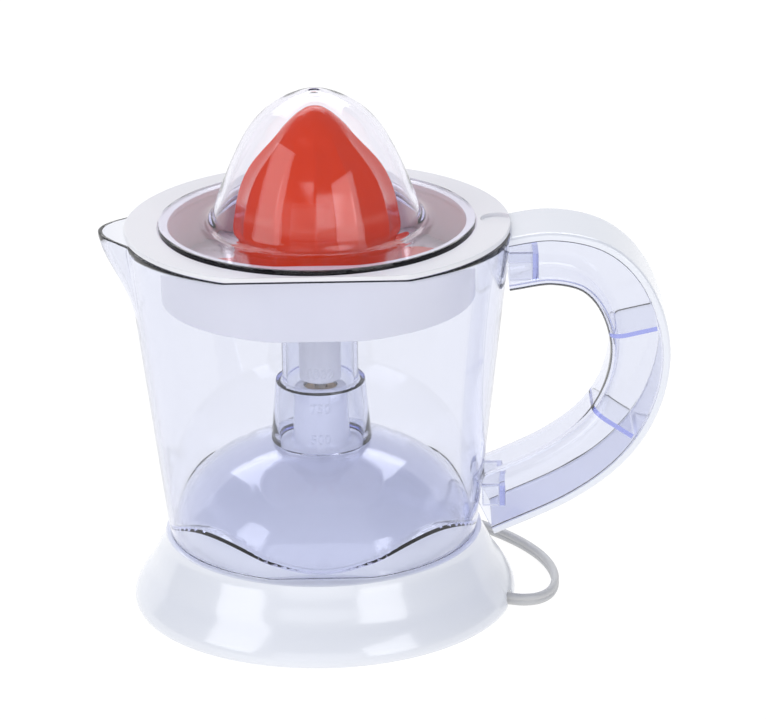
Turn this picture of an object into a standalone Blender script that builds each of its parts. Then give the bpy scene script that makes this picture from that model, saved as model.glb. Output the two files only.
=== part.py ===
"""Electric citrus press with a clear jug, lifted off a motor base.

Everything is built about the vertical drive axis, under an empty that stands where the
axis lies in the part's own frame.  The origin is the middle of the footprint, on the
floor, and +Z is up.  The spout points to -X and the handle to +X.  Sizes are in metres.
"""
from math import acos, atan2, cos, hypot, pi, radians, sin, sqrt, tan

import bmesh
import bpy
from mathutils import Matrix, Vector

MM = 0.001

# Clearances
GAP = 0.3 * MM               # between pieces that touch
SLIP = 0.7 * MM              # between pieces that lift off each other

# Jug
RIM_RADIUS = 83.0 * MM       # outer radius at the rim
FOOT_RADIUS = 67.0 * MM      # outer radius at the bottom edge
RIM_HEIGHT = 168.6 * MM
JUG_WALL = 2.0 * MM
FLAT_AT_RIM = 69.3 * MM      # from the axis to the flat front panel, at the rim
FLAT_AT_FOOT = 63.6 * MM
FRONT_SQUASH = 0.94          # the front half of the rim is slightly shallower
SPOUT_REACH = 93.3 * MM      # from the axis to the lip
SPOUT_DEPTH = 36.0 * MM      # how far below the rim the spout begins
SPOUT_HALF_ANGLE = radians(15.0)
LIP_RISE = 1.0 * MM
WAVE_HEIGHT = 12.0 * MM      # the floor's edge rises by this between its four low points
CHIMNEY_FOOT = 21.7 * MM     # outer radii of the tube that the drive passes up
CHIMNEY_SHOULDER = 19.3 * MM
CHIMNEY_NECK = 16.4 * MM
SHOULDER_HEIGHT = 101.2 * MM
CHIMNEY_TOP = 154.0 * MM

# Base
BASE_RADIUS = 83.2 * MM
BASE_WALL = 2.4 * MM
BASE_BOTTOM = 1.0 * MM       # the skirt hangs this far above the floor
SEAT_HEIGHT = 32.6 * MM      # ledge that the jug's foot stands on
DOME_RADIUS = 62.4 * MM
DOME_RISE = 37.5 * MM
DOME_SQUASH = 0.93           # flat front of the dome, as a share of its radius
TOWER_RADIUS = 11.4 * MM
TOWER_TOP = 98.0 * MM
PLATE_HEIGHT = 9.0 * MM      # underside of the bottom plate
PLATE_THICKNESS = 2.2 * MM
FOOT_PAD_RADIUS = 6.5 * MM
FOOT_CIRCLE = 58.0 * MM
SCREW_CIRCLE = 67.0 * MM
SCREW_RADIUS = 1.5 * MM
BOSS_RADIUS = 4.0 * MM
BOSS_TOP = 27.0 * MM         # where a boss ends inside the skirt's wall
NOTCH_HALF = 5.0 * MM        # of the arch that lets the lead out
NOTCH_TOP = 7.0 * MM

# Drive
SHAFT_RADIUS = 3.0 * MM
SHAFT_FLAT = 2.4 * MM        # from the axis to the flat on the shaft
SHAFT_BOTTOM = 39.3 * MM
SHAFT_TOP = 116.0 * MM
SPINDLE_RADIUS = 9.0 * MM
SPINDLE_BOTTOM = 101.2 * MM
DOG_RADIUS = 6.0 * MM        # hexagonal driving dog, across its corners
DOG_BOTTOM = 142.0 * MM
DOG_TOP = 186.0 * MM
PRESS_TRAVEL = 2.5 * MM      # of the cone and the shaft, when a fruit is pressed on
MODULE = 0.9 * MM
OUTPUT_TEETH = 54
MIDDLE_PINION_TEETH = 9
MIDDLE_WHEEL_TEETH = 48
ROTOR_PINION_TEETH = 8
MIDDLE_ANGLE = radians(138.5)
ROTOR_ANGLE = radians(180.0)
WHEEL_BOTTOM = 46.5 * MM
WHEEL_THICKNESS = 4.5 * MM
OUTPUT_BOTTOM = 53.3 * MM
OUTPUT_THICKNESS = 6.0 * MM
FRAME_BOTTOM = 41.0 * MM
FRAME_THICKNESS = 2.5 * MM
FRAME_RADIUS = 52.0 * MM
COVER_PLATE_BOTTOM = 60.3 * MM
COVER_PLATE_THICKNESS = 2.0 * MM
CUP_BOTTOM = 37.6 * MM
SPRING_BOTTOM = 18.5 * MM
STACK_BOTTOM = 18.0 * MM
STACK_HEIGHT = 15.0 * MM
MAGNET_RADIUS = 8.5 * MM
ROTOR_SHAFT_RADIUS = 1.5 * MM
AXLE_RADIUS = 1.0 * MM

# Strainer, with the collar that lies on the jug's rim
COLLAR_RADIUS = 82.3 * MM
COLLAR_FLAT = 68.9 * MM
COLLAR_THICKNESS = 2.1 * MM
RECESS_RADIUS = 68.0 * MM
RECESS_DEPTH = 0.9 * MM
DRUM_RADIUS = 67.3 * MM
DRUM_FLAT = 61.0 * MM
DRUM_WALL = 2.0 * MM
DRUM_BOTTOM = 139.6 * MM
SIEVE_HEIGHT = 145.2 * MM
SIEVE_THICKNESS = 2.3 * MM
SIEVE_SLOTS = 16
HUB_WALL = 2.0 * MM
HUB_TOP = 157.0 * MM

# Reamer and the pulp sweeper that turns with it
REAMER_TOP = 222.6 * MM
REAMER_SKIRT = 36.0 * MM
REAMER_BOTTOM = 153.9 * MM
REAMER_WALL = 2.0 * MM
RIDGES = 12
SOCKET_TOP = 190.0 * MM
SWEEPER_REACH = 57.5 * MM
SWEEPER_THICKNESS = 2.4 * MM
SWEEPER_ANGLE = radians(8.0)
ARM_HALF = 17.0 * MM         # half the width of a sweeper's arm
FLUTE_DEPTH = 1.6 * MM       # below the ridges

# Dust cover
COVER_RADIUS = 67.6 * MM
COVER_EDGE = 2.6 * MM
COVER_WALL = 2.0 * MM
COVER_TOP = 230.0 * MM

# Handle
HANDLE_WIDTH = 35.0 * MM
HANDLE_DEPTH = 25.4 * MM
HANDLE_WALL = 2.2 * MM
STRIP_THICKNESS = 3.2 * MM
HANDLE_REACH = 149.8 * MM    # from the axis to the outermost point of the grip
LUG_WALL = 2.4 * MM

# Cord: a flat twin lead, its free run, and the rest wound up behind the base
CORD_WIDTH = 5.4 * MM
GLAND_ANGLE = radians(-14.0)
GLAND_LENGTH = 24.0 * MM
GLAND_START = 52.0 * MM
GLAND_RADIUS = 4.0 * MM      # at the end inside the base
GLAND_LEVEL = 4.4 * MM
COIL_CENTRE = (-6.0 * MM, 128.0 * MM)
COIL_RADIUS = 30.0 * MM      # to the middle of the turns
CORD_LIE = CORD_WIDTH / 2 + GAP
CORD_SETTLE = 0.4            # share of the way down to the floor that it comes at each point
PLUG_PLACE = (12.0 * MM, 106.0 * MM)
CORD_ROUTE = [               # in millimetres, seen from above, after the gland
    (80.0, -20.2), (86.5, -21.0), (93.0, -18.6), (98.0, -12.6), (100.6, -3.6),
    (101.0, 6.6), (99.2, 18.0), (95.0, 30.0), (88.5, 42.0), (80.0, 53.5),
    (70.0, 64.5), (59.0, 75.5), (48.6, 87.0), (40.0, 99.0), (35.0, 109.0),
]

AXIS_X = (SPOUT_REACH - HANDLE_REACH) / 2
COLLECTION = "citrus_press"


# Scene, materials and modelling helpers

def clear_scene():
    """Remove every object and the empty collections of a new file."""
    for obj in list(bpy.data.objects):
        bpy.data.objects.remove(obj, do_unlink=True)
    for name in (COLLECTION, "cutters"):
        collection = bpy.data.collections.new(name)
        bpy.context.scene.collection.children.link(collection)


def material(name, colour, roughness=0.4, metallic=0.0, alpha=1.0):
    """A Principled material."""
    mat = bpy.data.materials.new(name)
    mat.use_nodes = True
    shader = mat.node_tree.nodes["Principled BSDF"]
    shader.inputs["Base Color"].default_value = (*colour, 1.0)
    shader.inputs["Roughness"].default_value = roughness
    shader.inputs["Metallic"].default_value = metallic
    shader.inputs["Alpha"].default_value = alpha
    return mat


def drive_axis():
    """The empty on the drive axis, which every piece is parented to."""
    empty = bpy.data.objects.get("drive_axis")
    if empty is None:
        empty = bpy.data.objects.new("drive_axis", None)
        empty.location = (AXIS_X, 0, 0)
        bpy.data.collections[COLLECTION].objects.link(empty)
        bpy.context.view_layer.update()
    return empty


def add(obj, mat=None, at=(0, 0, 0), turn=0.0):
    """Put an object in the collection, on the axis frame, at a place and a turn about Z."""
    bpy.data.collections[COLLECTION].objects.link(obj)
    obj.parent = drive_axis()
    obj.location = at
    obj.rotation_euler = (0, 0, turn)
    if mat is not None:
        obj.data.materials.clear()
        obj.data.materials.append(mat)
    return obj


def mesh_object(name, bm, mat=None, at=(0, 0, 0), turn=0.0):
    """Turn a bmesh into a smooth-shaded object with sharp corners kept."""
    bmesh.ops.recalc_face_normals(bm, faces=bm.faces)
    mesh = bpy.data.meshes.new(name)
    bm.to_mesh(mesh)
    bm.free()
    mesh.shade_smooth()
    mesh.set_sharp_from_angle(angle=radians(35))
    return add(bpy.data.objects.new(name, mesh), mat, at, turn)


def tube_rows(name, rows, mat=None, closed=True):
    """A loft: rings of equal count joined one to the next, with a single point as a pole.

    A closed loft joins its last ring to its first, like the wall of a cup with a tube
    through it.  An open one starts and ends at poles.
    """
    bm = bmesh.new()
    rings = [[bm.verts.new(point) for point in row] for row in rows]
    pairs = list(zip(rings, rings[1:]))
    if closed:
        pairs.append((rings[-1], rings[0]))
    for low, high in pairs:
        count = max(len(low), len(high))
        for i in range(count):
            j = (i + 1) % count
            corners = [low[i % len(low)], low[j % len(low)], high[j % len(high)], high[i % len(high)]]
            bm.faces.new(list(dict.fromkeys(corners)))
    bmesh.ops.triangulate(bm, faces=bm.faces)
    return mesh_object(name, bm, mat)


def section_sweep(name, sections, mat=None):
    """A loft along a path: closed outlines joined one to the next, with flat ends."""
    bm = bmesh.new()
    rings = [[bm.verts.new(point) for point in section] for section in sections]
    for low, high in zip(rings, rings[1:]):
        for i in range(len(low)):
            j = (i + 1) % len(low)
            bm.faces.new((low[i], low[j], high[j], high[i]))
    for ring in (rings[0], rings[-1]):
        bm.faces.new(ring)
    return mesh_object(name, bm, mat)


def turned(name, profile, mat=None, steps=32, at=(0, 0, 0)):
    """A turned piece: a closed (radius, height) profile carried round by a Screw modifier."""
    bm = bmesh.new()
    points = [bm.verts.new((radius, 0, height)) for radius, height in profile]
    edges = list(zip(points, points[1:]))
    if profile[0][0] > 0 or profile[-1][0] > 0:
        edges.append((points[-1], points[0]))
    for pair in edges:
        bm.edges.new(pair)
    mesh = bpy.data.meshes.new(name)
    bm.to_mesh(mesh)
    bm.free()
    obj = add(bpy.data.objects.new(name, mesh), mat, at)
    screw = obj.modifiers.new("turn", "SCREW")
    screw.steps = steps
    screw.render_steps = steps
    screw.use_merge_vertices = True
    screw.merge_threshold = 0.00001
    screw.use_smooth_shade = True
    return obj


def ring(name, inner, outer, bottom, top, mat=None, steps=24, at=(0, 0, 0)):
    """A turned ring, its profile run down the outer side."""
    profile = [(outer, top), (outer, bottom), (inner, bottom), (inner, top)]
    return turned(name, profile, mat, steps, at)


def cylinder(name, radius, bottom, top, mat=None, at=(0, 0), sides=24, radius_top=None, turn=0.0):
    """A vertical cylinder, prism or cone frustum."""
    bm = bmesh.new()
    bmesh.ops.create_cone(
        bm, cap_ends=True, segments=sides, radius1=radius,
        radius2=radius if radius_top is None else radius_top, depth=top - bottom,
    )
    return mesh_object(name, bm, mat, (*at, (bottom + top) / 2), turn)


def box(name, low, high, mat=None, at=(0, 0, 0), turn=0.0, bevel=0.0):
    """A box between two corners, given about the place it is put at."""
    bm = bmesh.new()
    bmesh.ops.create_cube(bm, size=1)
    size = [b - a for a, b in zip(low, high)]
    middle = [(a + b) / 2 for a, b in zip(low, high)]
    bmesh.ops.transform(bm, matrix=Matrix.Translation(middle) @ Matrix.Diagonal((*size, 1)), verts=bm.verts)
    if bevel:
        bmesh.ops.bevel(bm, geom=bm.edges[:], offset=bevel, segments=2, affect="EDGES")
    return mesh_object(name, bm, mat, at, turn)


def outline_prism(name, outline, bottom, top, mat=None, at=(0, 0, 0), turn=0.0):
    """A flat outline raised into a prism: a filled curve, extruded by half its thickness."""
    curve = bpy.data.curves.new(name, "CURVE")
    curve.dimensions = "2D"
    curve.fill_mode = "BOTH"
    curve.extrude = (top - bottom) / 2
    spline = curve.splines.new("POLY")
    spline.points.add(len(outline) - 1)
    for point, (x, y) in zip(spline.points, outline):
        point.co = (x, y, 0, 1)
    spline.use_cyclic_u = True
    shape = add(bpy.data.objects.new(name, curve), None, (at[0], at[1], (bottom + top) / 2), turn)
    return curve_to_mesh(shape, mat)


def curve_to_mesh(shape, mat=None):
    """Make a curve object a mesh object with welded caps, in the same place."""
    bpy.context.view_layer.update()
    evaluated = shape.evaluated_get(bpy.context.evaluated_depsgraph_get())
    mesh = bpy.data.meshes.new_from_object(evaluated)
    bm = bmesh.new()
    bm.from_mesh(mesh)
    bmesh.ops.remove_doubles(bm, verts=bm.verts, dist=0.000001)
    bmesh.ops.recalc_face_normals(bm, faces=bm.faces)
    bm.to_mesh(mesh)
    bm.free()
    name, place, turn = shape.name, tuple(shape.location), shape.rotation_euler.z
    bpy.data.objects.remove(shape, do_unlink=True)
    mesh.shade_smooth()
    mesh.set_sharp_from_angle(angle=radians(35))
    return add(bpy.data.objects.new(name, mesh), mat, place, turn)


def wire(name, points, radius, mat=None, sides=2):
    """A round bar along points: a POLY spline with a bevel and filled caps."""
    curve = bpy.data.curves.new(name, "CURVE")
    curve.dimensions = "3D"
    curve.bevel_depth = radius
    curve.bevel_resolution = sides
    curve.use_fill_caps = True
    spline = curve.splines.new("POLY")
    spline.points.add(len(points) - 1)
    for point, place in zip(spline.points, points):
        point.co = (*place, 1)
    return add(bpy.data.objects.new(name, curve), mat)


def combine(obj, others, operation):
    """Cut or join others with obj, by an exact Boolean, and hide them as cutters."""
    for other in others:
        modifier = obj.modifiers.new(operation.lower(), "BOOLEAN")
        modifier.operation = operation
        modifier.solver = "EXACT"
        modifier.object = other
        other.hide_render = True
        other.display_type = "WIRE"
        if other.name in bpy.data.collections[COLLECTION].objects:
            bpy.data.collections[COLLECTION].objects.unlink(other)
            bpy.data.collections["cutters"].objects.link(other)
    return obj


def cut(obj, *others):
    return combine(obj, others, "DIFFERENCE")


def join(obj, *others):
    return combine(obj, others, "UNION")


def smooth_step(value):
    value = min(max(value, 0.0), 1.0)
    return value * value * (3 - 2 * value)


def mix(a, b, share):
    return a + (b - a) * share


def polar(radius, angle):
    return radius * cos(angle), radius * sin(angle)


def catmull_rom(points, steps):
    """A smooth curve through points, with a number of steps between each two."""
    ends = [points[0] * 2 - points[1]] + list(points) + [points[-1] * 2 - points[-2]]
    result = []
    for a, b, c, d in zip(ends, ends[1:], ends[2:], ends[3:]):
        for i in range(steps):
            t = i / steps
            result.append((2 * b + (c - a) * t + (2 * a - 5 * b + 4 * c - d) * t ** 2
                           + (3 * b - a - 3 * c + d) * t ** 3) / 2)
    result.append(points[-1])
    return result


# The plan shape that the jug, the strainer and the base's dome share: a circle with a
# shallower front half, cut by a flat panel square to -Y.

PLAN_STEPS = 36
PLAN_ANGLES = [2 * pi * i / PLAN_STEPS for i in range(PLAN_STEPS)]


def plan_radius(angle, radius, flat, squash=1.0):
    """Distance from the axis to the outline, in the direction of an angle."""
    c, s = cos(angle), sin(angle)
    if s >= 0:
        return radius
    rounded = radius / hypot(c, s / squash)
    return min(rounded, flat / -s)


def wall_radius(angle, height, inset=0.0):
    """Outer radius of the jug's wall, less an inset, without the spout."""
    share = (height - SEAT_HEIGHT) / (RIM_HEIGHT - SEAT_HEIGHT)
    radius = mix(FOOT_RADIUS, RIM_RADIUS, share)
    flat = mix(FLAT_AT_FOOT, FLAT_AT_RIM, share)
    return plan_radius(angle, radius - inset, flat - inset, mix(1.0, FRONT_SQUASH, share))


def spout_share(angle, height):
    """How far the spout stands out here, from 0 to 1 at the lip."""
    away = abs(atan2(sin(angle - pi), cos(angle - pi))) / SPOUT_HALF_ANGLE
    if away >= 1:
        return 0.0
    rise = smooth_step((height - (RIM_HEIGHT - SPOUT_DEPTH)) / SPOUT_DEPTH)
    return rise * cos(away * pi / 2) ** 1.3


def jug_radius(angle, height, inset=0.0):
    """Outer radius of the jug's wall with its spout."""
    reach = SPOUT_REACH - RIM_RADIUS
    return wall_radius(angle, height, inset) + reach * spout_share(angle, height)


def dome_point(rise_angle, offset=0.0):
    """Radius and height on the base's dome, moved out along its normal by an offset."""
    c, s = cos(rise_angle), sin(rise_angle)
    normal = Vector((c / DOME_RADIUS, s / DOME_RISE)).normalized() * offset
    return DOME_RADIUS * c + normal.x, SEAT_HEIGHT + 2 * MM + DOME_RISE * s + normal.y


def dome_plan(angle, radius):
    """The dome's outline at a radius: its front is flatter the further out it is."""
    share = smooth_step((radius - CHIMNEY_FOOT) / (DOME_RADIUS - CHIMNEY_FOOT))
    return plan_radius(angle, radius, radius * mix(1.0, DOME_SQUASH, share))


def ring_row(radius_at, height_at):
    """One ring of a loft: radius and height as functions of the angle."""
    row = []
    for angle in PLAN_ANGLES:
        radius = radius_at(angle)
        row.append((radius * cos(angle), radius * sin(angle), height_at(angle)))
    return row


def round_row(radius, height):
    return ring_row(lambda angle: radius, lambda angle: height)


def flat_row(radius, flat, height):
    """A level ring with the strainer's flat front."""
    return ring_row(lambda angle: plan_radius(angle, radius, flat, FRONT_SQUASH), lambda angle: height)


# Base

DOME_ANGLES = [radians(a) for a in (0, 12, 25, 38, 51, 63, 72)]


def base_skirt_profile():
    """Outer profile of the skirt, from the seat down to the bottom edge."""
    return [
        (BASE_RADIUS - 14.6 * MM, SEAT_HEIGHT), (BASE_RADIUS - 13.4 * MM, SEAT_HEIGHT - 4 * MM),
        (BASE_RADIUS - 10.6 * MM, 23 * MM), (BASE_RADIUS - 7.6 * MM, 17 * MM),
        (BASE_RADIUS - 3.8 * MM, 11.5 * MM), (BASE_RADIUS - 0.9 * MM, 6.5 * MM),
        (BASE_RADIUS, 3 * MM), (BASE_RADIUS - 0.4 * MM, BASE_BOTTOM),
    ]


def make_base_housing(mat):
    """Skirt, seat, dome and tower in one shell, open below, with three screw bosses."""
    wall = BASE_WALL
    rows = [round_row(TOWER_RADIUS - 1 * MM, TOWER_TOP), round_row(TOWER_RADIUS, TOWER_TOP - 1 * MM)]
    tower_foot = dome_point(DOME_ANGLES[-1])[1] + 2.5 * MM
    rows.append(round_row(TOWER_RADIUS + 1 * MM, tower_foot))
    for rise in reversed(DOME_ANGLES):
        radius, height = dome_point(rise)
        rows.append(ring_row(lambda a, r=radius: dome_plan(a, r), lambda a, h=height: h))
    rows.append(ring_row(lambda a: dome_plan(a, DOME_RADIUS), lambda a: SEAT_HEIGHT))
    skirt = base_skirt_profile()
    rows += [round_row(radius, height) for radius, height in skirt]
    rows += [round_row(radius - wall, height) for radius, height in reversed(skirt[1:])]
    rows.append(round_row(skirt[0][0] - wall, SEAT_HEIGHT - wall))
    for rise in DOME_ANGLES:
        radius, height = dome_point(rise, -wall)
        rows.append(ring_row(lambda a, r=radius: dome_plan(a, r), lambda a, h=height: h))
    rows.append(round_row(bush_bore(), tower_foot - wall))
    rows.append(round_row(bush_bore(), TOWER_TOP))
    housing = tube_rows("base_housing", rows, mat)
    for index, place in enumerate(screw_places()):
        boss = cylinder(f"boss_{index}", BOSS_RADIUS, plate_top() + GAP, BOSS_TOP, at=place, sides=16)
        hole = cylinder(f"boss_hole_{index}", SCREW_RADIUS + GAP, 0, 20 * MM, at=place, sides=12)
        join(housing, boss)
        cut(housing, hole)
    low = (GLAND_START, -NOTCH_HALF, 0)
    notch = box("cord_notch", low, (BASE_RADIUS + 5 * MM, NOTCH_HALF, NOTCH_TOP), turn=GLAND_ANGLE)
    cut(housing, notch)
    return housing


def bush_bore():
    """Inner radius of the tower, which holds the top bush."""
    return TOWER_RADIUS - 4.1 * MM


def plate_top():
    return PLATE_HEIGHT + PLATE_THICKNESS


def plate_radius():
    """The bottom plate fits inside the skirt at its own height."""
    return BASE_RADIUS - 3.8 * MM - BASE_WALL - SLIP


def screw_places():
    return [polar(SCREW_CIRCLE, radians(a)) for a in (30, 150, 270)]


def foot_places():
    return [polar(FOOT_CIRCLE, radians(a)) for a in (45, 135, 225, 315)]


def make_base_plate(mat):
    """Bottom plate with screw holes, a spring post and a bearing boss for the rotor."""
    plate = cylinder("base_plate", plate_radius(), PLATE_HEIGHT, plate_top(), mat, sides=48)
    join(plate, cylinder("spring_post", 6.5 * MM, PLATE_HEIGHT + 1 * MM, SPRING_BOTTOM - GAP))
    join(plate, cylinder("rotor_post", 5 * MM, PLATE_HEIGHT + 1 * MM, 13.5 * MM, at=rotor_place()))
    cut(plate, cylinder("stem_hole", 2.8 * MM, plate_top(), 30 * MM))
    cut(plate, cylinder("rotor_post_hole", ROTOR_SHAFT_RADIUS + GAP, 10 * MM, 20 * MM, at=rotor_place()))
    for index, place in enumerate(screw_places()):
        cut(plate, cylinder(f"plate_hole_{index}", SCREW_RADIUS + GAP, 0, 20 * MM, at=place, sides=12))
    return plate


def make_feet(mat):
    """Four rubber feet under the bottom plate."""
    for index, (x, y) in enumerate(foot_places(), 1):
        profile = [
            (0, PLATE_HEIGHT - GAP), (FOOT_PAD_RADIUS, PLATE_HEIGHT - GAP),
            (FOOT_PAD_RADIUS, 1 * MM), (FOOT_PAD_RADIUS - 1 * MM, 0), (0, 0),
        ]
        turned(f"foot_{index}", profile, mat, 20, (x, y, 0))


def make_base_screws(mat):
    """Pan-head screws through the plate into the bosses."""
    for index, (x, y) in enumerate(screw_places(), 1):
        head = PLATE_HEIGHT - GAP
        profile = [
            (0, 19 * MM), (SCREW_RADIUS, 18 * MM), (SCREW_RADIUS, head), (3 * MM, head),
            (2.6 * MM, head - 1.8 * MM), (0, head - 2 * MM),
        ]
        turned(f"base_screw_{index}", profile, mat, 16, (x, y, 0))


# Gears

def middle_place():
    distance = MODULE * (OUTPUT_TEETH + MIDDLE_PINION_TEETH) / 2
    return polar(distance, MIDDLE_ANGLE)


def rotor_place():
    """The rotor lies on ROTOR_ANGLE, at the mesh distance from the middle gear."""
    mesh = MODULE * (MIDDLE_WHEEL_TEETH + ROTOR_PINION_TEETH) / 2
    x, y = middle_place()
    along = x * cos(ROTOR_ANGLE) + y * sin(ROTOR_ANGLE)
    across = x * sin(ROTOR_ANGLE) - y * cos(ROTOR_ANGLE)
    return polar(along + sqrt(mesh ** 2 - across ** 2) * 0.9999, ROTOR_ANGLE)


def gear_outline(teeth, phase=0.0):
    """Stub involute teeth, 25 degree pressure angle, with a little backlash.

    The flank of a wheel is nearly straight, so only a pinion's has a point in its middle.
    """
    pitch = MODULE * teeth / 2
    base = pitch * cos(radians(25))
    tip = pitch + 0.75 * MODULE
    root = pitch - 1.0 * MODULE
    half = 0.44 * pi / teeth
    points = []
    for tooth in range(teeth):
        middle = phase + 2 * pi * tooth / teeth
        flank = []
        for radius in (root, pitch, tip) if teeth < 20 else (root, tip):
            half_here = half + involute(pitch, base) - involute(max(radius, base), base)
            flank.append((radius, half_here))
        points += [polar(radius, middle - width) for radius, width in flank]
        points += [polar(radius, middle + width) for radius, width in reversed(flank)]
    return points


def involute(radius, base):
    angle = acos(min(1.0, base / radius))
    return tan(angle) - angle


def make_gears(white, steel):
    """Rotor pinion, middle compound gear and output gear, in mesh at rest."""
    mx, my = middle_place()
    rx, ry = rotor_place()
    out_phase = MIDDLE_ANGLE
    pinion_phase = MIDDLE_ANGLE + pi + pi / MIDDLE_PINION_TEETH
    to_rotor = atan2(ry - my, rx - mx)
    wheel_phase = to_rotor
    rotor_phase = to_rotor + pi + pi / ROTOR_PINION_TEETH

    output = outline_prism(
        "output_gear", gear_outline(OUTPUT_TEETH, out_phase),
        OUTPUT_BOTTOM, OUTPUT_BOTTOM + OUTPUT_THICKNESS, white)
    hub_radius = SHAFT_RADIUS + 2.2 * MM
    hub_bottom = FRAME_BOTTOM + FRAME_THICKNESS + 2.2 * MM
    join(output, cylinder("output_hub", hub_radius, hub_bottom, COVER_PLATE_BOTTOM - GAP))
    cut(output, d_bore("output_bore", SHAFT_RADIUS + GAP, SHAFT_FLAT + GAP, 40 * MM, 70 * MM))

    middle = outline_prism(
        "middle_gear", gear_outline(MIDDLE_WHEEL_TEETH, wheel_phase),
        WHEEL_BOTTOM, WHEEL_BOTTOM + WHEEL_THICKNESS, white, (mx, my, 0))
    pinion_bottom = WHEEL_BOTTOM + WHEEL_THICKNESS - 1 * MM
    join(middle, outline_prism(
        "middle_pinion", gear_outline(MIDDLE_PINION_TEETH, pinion_phase),
        pinion_bottom, COVER_PLATE_BOTTOM - 1.2 * MM, None, (mx, my, 0)))
    cut(middle, cylinder("middle_bore", 1.3 * MM, 40 * MM, 70 * MM, at=(mx, my), sides=16))

    pinion = outline_prism(
        "rotor_pinion", gear_outline(ROTOR_PINION_TEETH, rotor_phase),
        WHEEL_BOTTOM - 1 * MM, WHEEL_BOTTOM + WHEEL_THICKNESS + 1 * MM, white, (rx, ry, 0))
    bore = cylinder("pinion_bore", ROTOR_SHAFT_RADIUS + GAP, 40 * MM, 70 * MM, at=(rx, ry), sides=16)
    cut(pinion, bore)
    axle_top = COVER_PLATE_BOTTOM + 1.5 * MM
    cylinder("gear_axle", AXLE_RADIUS, FRAME_BOTTOM + 0.5 * MM, axle_top, steel, (mx, my), 16)


def d_bore(name, radius, flat, bottom, top):
    """A cylinder with one flat, as a cutter or a shaft."""
    shape = cylinder(name, radius, bottom, top, sides=24)
    block = box(f"{name}_flat", (flat, -radius, bottom - MM), (flat + radius, radius, top + MM))
    return cut(shape, block)


# Frame, motor and switch

def make_gear_frame(mat):
    """Plate that carries the gears and hangs the motor, on three legs."""
    plate = cylinder("gear_frame", FRAME_RADIUS, FRAME_BOTTOM, FRAME_BOTTOM + FRAME_THICKNESS, mat, sides=32)
    for index, angle in enumerate((60, 120, 250)):
        place = polar(FRAME_RADIUS - 6 * MM, radians(angle))
        name = f"frame_leg_{index}"
        join(plate, cylinder(name, 4 * MM, plate_top() + GAP, FRAME_BOTTOM + 1 * MM, at=place, sides=12))
    cut(plate, cylinder("frame_bush_hole", bush_radius() + GAP, 30 * MM, 50 * MM))
    cut(plate, cylinder("frame_axle_hole", AXLE_RADIUS + GAP, 30 * MM, 50 * MM, at=middle_place(), sides=16))
    rotor_bore = ROTOR_SHAFT_RADIUS + GAP
    cut(plate, cylinder("frame_rotor_hole", rotor_bore, 30 * MM, 50 * MM, at=rotor_place(), sides=16))
    return plate


def bush_radius():
    return SHAFT_RADIUS + 2.2 * MM


def make_gearbox_cover(mat):
    """Keeps the gears in place: a bar over both axles, on two posts."""
    mx, my = middle_place()
    top = COVER_PLATE_BOTTOM + COVER_PLATE_THICKNESS
    cover = cylinder("gearbox_cover", 9 * MM, COVER_PLATE_BOTTOM, top, mat)
    length = hypot(mx, my)
    join(cover, box(
        "cover_arm", (-29 * MM, -5 * MM, COVER_PLATE_BOTTOM), (length, 5 * MM, top), turn=MIDDLE_ANGLE))
    join(cover, cylinder("cover_end", 5 * MM, COVER_PLATE_BOTTOM, top, at=(mx, my)))
    post = polar(-30.5 * MM, MIDDLE_ANGLE)
    join(cover, cylinder("cover_post", 4 * MM, frame_top() + GAP, top, at=post, sides=16))
    cut(cover, cylinder("cover_shaft_hole", SHAFT_RADIUS + GAP, 60 * MM, 75 * MM))
    hole_top = COVER_PLATE_BOTTOM + 1.8 * MM
    cut(cover, cylinder("cover_axle_hole", AXLE_RADIUS + GAP, 60 * MM, hole_top, at=(mx, my), sides=16))
    return cover


def frame_top():
    return FRAME_BOTTOM + FRAME_THICKNESS


def make_motor(core, coil, plastic, magnet, steel):
    """Shaded-pole style motor: laminated core, two coils on bobbins, magnet rotor."""
    rx, ry = rotor_place()
    top = STACK_BOTTOM + STACK_HEIGHT
    leg_inner, leg_outer, back = 14 * MM, 21 * MM, 22 * MM
    stack = box("stator_core", (rx - 15 * MM, -leg_outer, STACK_BOTTOM), (back, leg_outer, top), core)
    cut(stack, box("stator_window", (rx + 14 * MM, -leg_inner, 0), (back - 7 * MM, leg_inner, 60 * MM)))
    cut(stack, cylinder("stator_bore", MAGNET_RADIUS + 0.8 * MM, 0, 60 * MM, at=(rx, ry), sides=32))
    cut(stack, box("pole_bridge", (rx - 20 * MM, -3 * MM, 0), (rx + 20 * MM, 3 * MM, 60 * MM)))
    for side, name in ((-1, "front"), (1, "rear")):
        middle = side * (leg_inner + leg_outer) / 2
        tubes = (("bobbin", 0.4, 1.6, -18, 11.5, plastic), ("coil", 1.9, 4.2, -16, 9.5, coil))
        for kind, inner, outer, start, end, mat in tubes:
            sleeve = box(
                f"{kind}_{name}",
                (start * MM, middle - 3.5 * MM - outer * MM, STACK_BOTTOM - outer * MM),
                (end * MM, middle + 3.5 * MM + outer * MM, top + outer * MM), mat,
                bevel=1.5 * MM if kind == "coil" else 0)
            cut(sleeve, box(
                f"{kind}_{name}_hole",
                (-60 * MM, middle - 3.5 * MM - inner * MM, STACK_BOTTOM - inner * MM),
                (60 * MM, middle + 3.5 * MM + inner * MM, top + inner * MM)))
    bore = ROTOR_SHAFT_RADIUS + GAP
    ring("rotor_magnet", bore, MAGNET_RADIUS, STACK_BOTTOM - 2 * MM, top + 2 * MM, magnet, 24, (rx, ry, 0))
    shaft_top = WHEEL_BOTTOM + WHEEL_THICKNESS + 3 * MM
    cylinder("rotor_shaft", ROTOR_SHAFT_RADIUS, 10.6 * MM, shaft_top, steel, (rx, ry), 16)


def lever_pivot():
    """Where the switch lever turns: its arm reaches from here to the thrust cup."""
    return 38 * MM, CUP_BOTTOM - GAP - 1.2 * MM


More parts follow.
